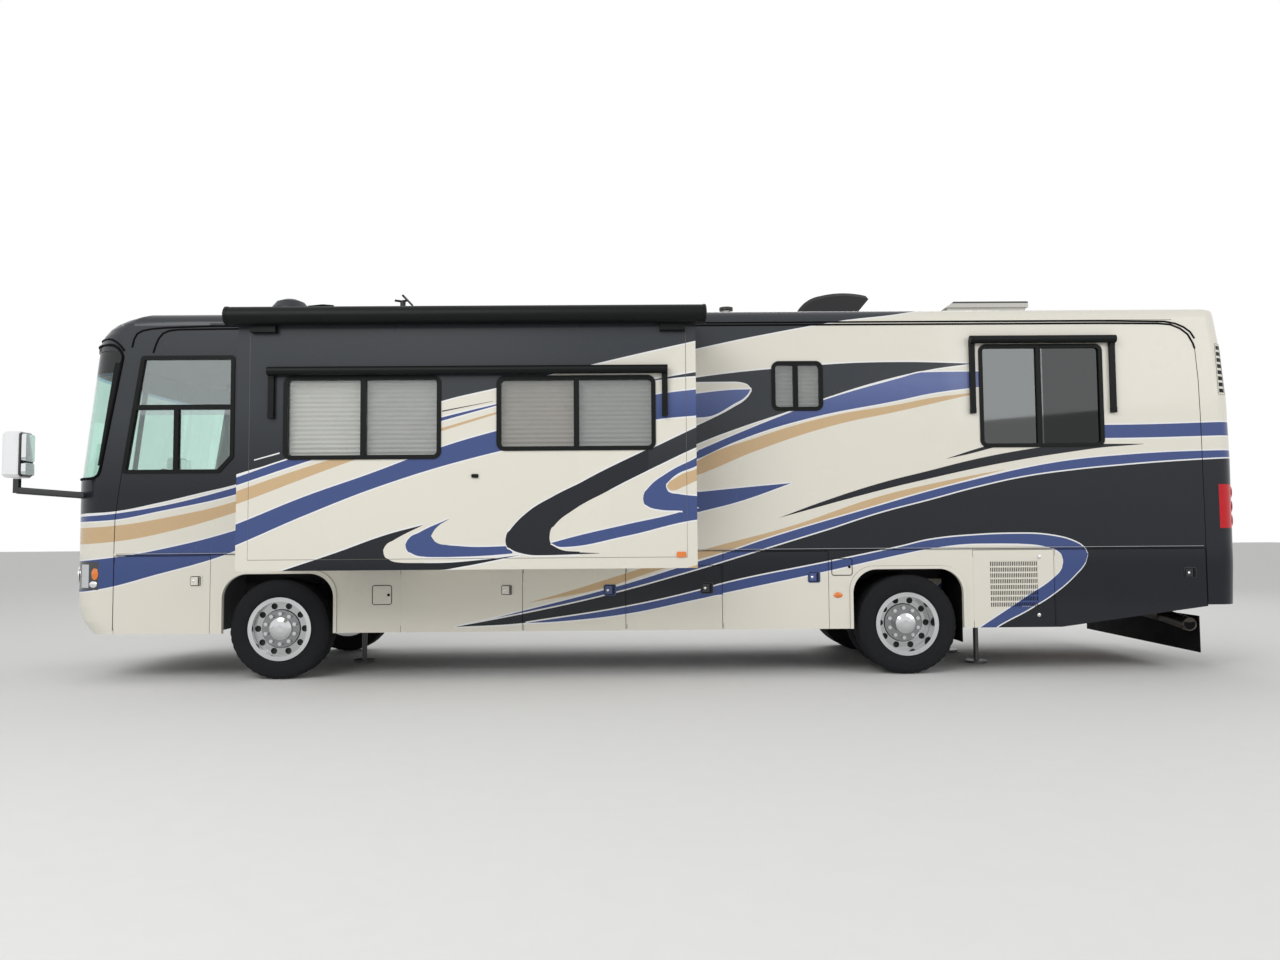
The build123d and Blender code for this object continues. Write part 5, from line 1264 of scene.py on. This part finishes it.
bm = bmesh.new()
for side in SIDES:
    pivot, out = from_front(nose, side * WIPER_PIVOT[0], WIPER_PIVOT[1])
    lathe(bm, PIVOT_PROFILE, pivot, out, 20)
    tube(bm, [pivot + out * ARM_RISE] + over_glass(side, *WIPER_ARM), ARM_R, 8)
    tube(bm, over_glass(side, *WIPER_BLADE), BLADE_R, 8)
finish_piece("wipers", bm, black_metal, "coach")

bm = bmesh.new()
for side in SIDES:
    for z0, z1 in MIRROR_PANES:
        edge = outline((side * MIRROR_Y, (z0 + z1) / 2), (PANE_WIDTH, z1 - z0), 0.02)
        low = [bm.verts.new((PANE_BACK_X, y, z)) for y, z in edge]
        high = [bm.verts.new((PANE_BACK_X + PANE_T + MIRROR_TILT * (abs(y) - PANE_INNER_Y), y, z))
                for y, z in edge]
        bm.faces.new(low)
        bm.faces.new(high)
        bridge(bm, (low, high), closed=True)
finish_piece("mirror_panes", bm, mirror_glass, "coach")

bm = bmesh.new()
lid = surface("engine_lid")
for k in range(LOUVRES):
    z = LOUVRE_LOW_Z + LOUVRE_PITCH * k
    for y0 in LOUVRE_STARTS:
        row = [from_rear(lid, y0 + LOUVRE_LENGTH * i / 8, z)[0] + OFF_LID for i in range(9)]
        tube(bm, row, 0.011, 8, flat=0.6)
finish_piece("engine_lid_louvres", bm, black_metal, "engine_lid")


# Entry door: handle, grab rail and window frame

HANDLE_X = -4.285
# height and distance off the wall's face along the handle's bow and along the grab rail
HANDLE_BOW = ((1.41, 0.004), (1.40, 0.035), (1.34, 0.038), (1.32, 0.004))
GRAB_X = -4.10
GRAB_BOW = ((1.30, 0.0), (1.32, 0.05), (1.36, 0.06), (1.94, 0.06), (1.98, 0.05), (2.0, 0.0))
GRAB_FOOT = ((0.0, 0.030), (0.006, 0.028), (0.008, 0.014))


def bow(x, spots):
    """Points of a bow on the right side, from (height, distance off the wall's face)."""
    return [(x, HALF_WIDTH + off, z) for z, off in spots]


bm = bmesh.new()
plate(bm, (-4.27, 1.36), (0.085, 0.16), 0.02, 1, HALF_WIDTH - 0.001, 0.006)
tube(bm, bow(HANDLE_X, HANDLE_BOW), 0.009, 10)
finish_piece("entry_handle", bm, chrome, "entry_door", bevel=0.0015)
bm = bmesh.new()
tube(bm, bow(GRAB_X, GRAB_BOW), 0.014, 12)
for z, _ in (GRAB_BOW[0], GRAB_BOW[-1]):
    lathe(bm, GRAB_FOOT, (GRAB_X, HALF_WIDTH - 0.001, z), "Y", 24)
finish_piece("grab_rail", bm, chrome, "coach")
bm = bmesh.new()
groove(bm, (-4.57, 2.11), (0.57, 0.83), 0.05, 1, HALF_WIDTH, 0.010)
finish_piece("entry_window_gasket", bm, black_rubber, "entry_door")


# Radiator behind the side grille, exhaust tip, and the heads of the two roof antennas

# ends in x, distances from the middle, ends in z: the radiator's duct and the pipe behind it
DUCT_BOXES = (((3.275, 3.70), (0.56, 1.215), (0.635, 1.06)), ((3.56, 3.62), (0.468, 0.57), (0.90, 1.00)))
TAIL_PIPE = (5.215, -1.158, 0.445)
TIP_PROFILE = ((0.055, 0.066), (-0.006, 0.067), (-0.010, 0.064), (-0.006, 0.060), (-0.004, 0.054))
BORE_PROFILE = ((-0.0045, 0.055), (-0.0035, 0.0))
# points, radius, share of the radius left across its flat side
ANTENNA_RODS = (
    (((-2.73, 0, 3.925), (-2.66, 0, 3.915), (-2.59, 0, 3.925)), 0.018, 0.5),
    (((-2.59, -0.22, 3.925), (-2.59, 0.22, 3.925)), 0.012, 1.0),
    (((-3.68, 0, 3.86), (-3.52, 0, 3.875), (-3.40, 0, 3.865)), 0.014, 1.0),
)

bm = bmesh.new()
for x, distances, z in DUCT_BOXES:
    slab(bm, x, across(-1, *distances), z)
finish_piece("radiator_duct", bm, radiator_black, "coach", bevel=0.004)
bm = bmesh.new()
lathe(bm, TIP_PROFILE, TAIL_PIPE, "Y", 40)
finish_piece("exhaust_tip", bm, stainless, "coach")
bm = bmesh.new()
lathe(bm, BORE_PROFILE, TAIL_PIPE, "Y", 40)
finish_piece("exhaust_bore", bm, black_rubber, "coach")
bm = bmesh.new()
for points, radius, flat in ANTENNA_RODS:
    tube(bm, points, radius, 8, flat=flat)
finish_piece("antenna_heads", bm, black_metal, "coach")


# Cab seats

SEAT_Y = (-0.65, 0.50)
SEAT_PIVOT = (-4.0, 1.64)
# part, middle x and z, size, backward lean in degrees
SEAT_PADS = (("base", (-4.20, 1.57), (0.50, 0.50, 0.15), 0), ("back", (-3.92, 1.90), (0.13, 0.45, 0.58), 8),
             ("rest", (-3.885, 2.28), (0.11, 0.27, 0.18), 8))
# ends in x, half width, ends in z: pedestal and pan
SEAT_STAND = (((-4.36, -4.04), 0.16, (1.139, 1.46)), ((-4.42, -3.98), 0.22, (1.45, 1.51)))
# Arms: distance from the seat's middle, pad, post and cross bar
ARM_OUT = 0.26
ARM_MIDDLE = (-4.16, 1.815)
ARM_SIZE = (0.38, 0.055, 0.05)
POST_X = (-4.02, -3.985)
POST_HALF = 0.014
POST_Z = (1.48, 1.80)
CROSS_Z = (1.475, 1.505)
ROUNDNESS = 6
SIDE_PULL = 0.04


def cushion(bm, middle, size, crown=0.16, puff=0.35, cells=10):
    """Closed crowned pad: sides pull in between its corners and every face swells. Returns its vertices."""
    start = len(bm.verts)
    made = bmesh.ops.create_cube(bm, size=2.0)["verts"]
    edges = {edge for vert in made for edge in vert.link_edges}
    bmesh.ops.subdivide_edges(bm, edges=list(edges), cuts=cells, use_grid_fill=True)
    bm.verts.ensure_lookup_table()
    pad = bm.verts[start:]
    for vert in pad:
        u, v, w = vert.co
        reach = sum(abs(c) ** ROUNDNESS for c in (u, v, w)) ** (1 / ROUNDNESS)
        shape = Vector((u, v, w)) * (1.0 / max(reach, 1e-6) * (1 - puff * 0.08))
        shape.z *= 1 + crown * (1 - u * u) * (1 - v * v)
        shape.x *= 1 - SIDE_PULL * (1 - v * v)
        shape.y *= 1 - SIDE_PULL * (1 - u * u)
        vert.co = Vector(middle) + Vector([c * whole / 2 for c, whole in zip(shape, size)])
    return pad


def tip(verts, pivot, degrees):
    """Turn vertices backwards about a pivot."""
    turn = Matrix.Rotation(math.radians(degrees), 3, "Y")
    for vert in verts:
        vert.co = Vector(pivot) + turn @ (vert.co - Vector(pivot))


for number, y in enumerate(SEAT_Y):
    for part, (x, z), size, lean in SEAT_PADS:
        bm = bmesh.new()
        tip(cushion(bm, (x, y, z), size), (SEAT_PIVOT[0], y, SEAT_PIVOT[1]), lean)
        pad = finish_piece(f"seat_{number}_{part}", bm, leather, "coach", angle=60)
        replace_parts(pad, "cab_seats")
    arms, seat_frame = bmesh.new(), bmesh.new()
    for x, half, z in SEAT_STAND:
        slab(seat_frame, x, (y - half, y + half), z)
    for arm_y in (y - ARM_OUT, y + ARM_OUT):
        cushion(arms, (ARM_MIDDLE[0], arm_y, ARM_MIDDLE[1]), ARM_SIZE, cells=6)
        slab(seat_frame, POST_X, (arm_y - POST_HALF, arm_y + POST_HALF), POST_Z)
        slab(seat_frame, POST_X, sorted((arm_y, y)), CROSS_Z)
    finish_piece(f"seat_{number}_arms", arms, leather, "coach", angle=60)
    frame_piece = finish_piece(f"seat_{number}_frame", seat_frame, seat_shell, "coach", bevel=0.008)
    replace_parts(frame_piece, "cab_seats")


# View, light and floor

SKY_STRENGTH = 0.52
# name, place, target, size, power
LIGHTS = (("key", (-6, -12, 9), (0, 0, 1.5), (9, 6), 700), ("fill", (9, -9, 6), (0, 0, 1.5), (8, 5), 230),
          ("back", (3, 11, 7), (0, 0, 1.5), (10, 5), 420))
FLOOR_CORNERS = ((-60, -40, 0), (60, -40, 0), (60, 80, 0), (-60, 80, 0))

bpy.context.scene.view_settings.view_transform = "Standard"
set_camera()
set_world(SKY_STRENGTH)
for light in LIGHTS:
    area_light(*light)

mesh = bpy.data.meshes.new("floor")
mesh.from_pydata(FLOOR_CORNERS, [], [range(len(FLOOR_CORNERS))])
mesh.materials.append(plain("floor", (0.84, 0.84, 0.83), 0.8, vary=0.02))
floor = bpy.data.objects.new("floor", mesh)
bpy.context.collection.objects.link(floor)
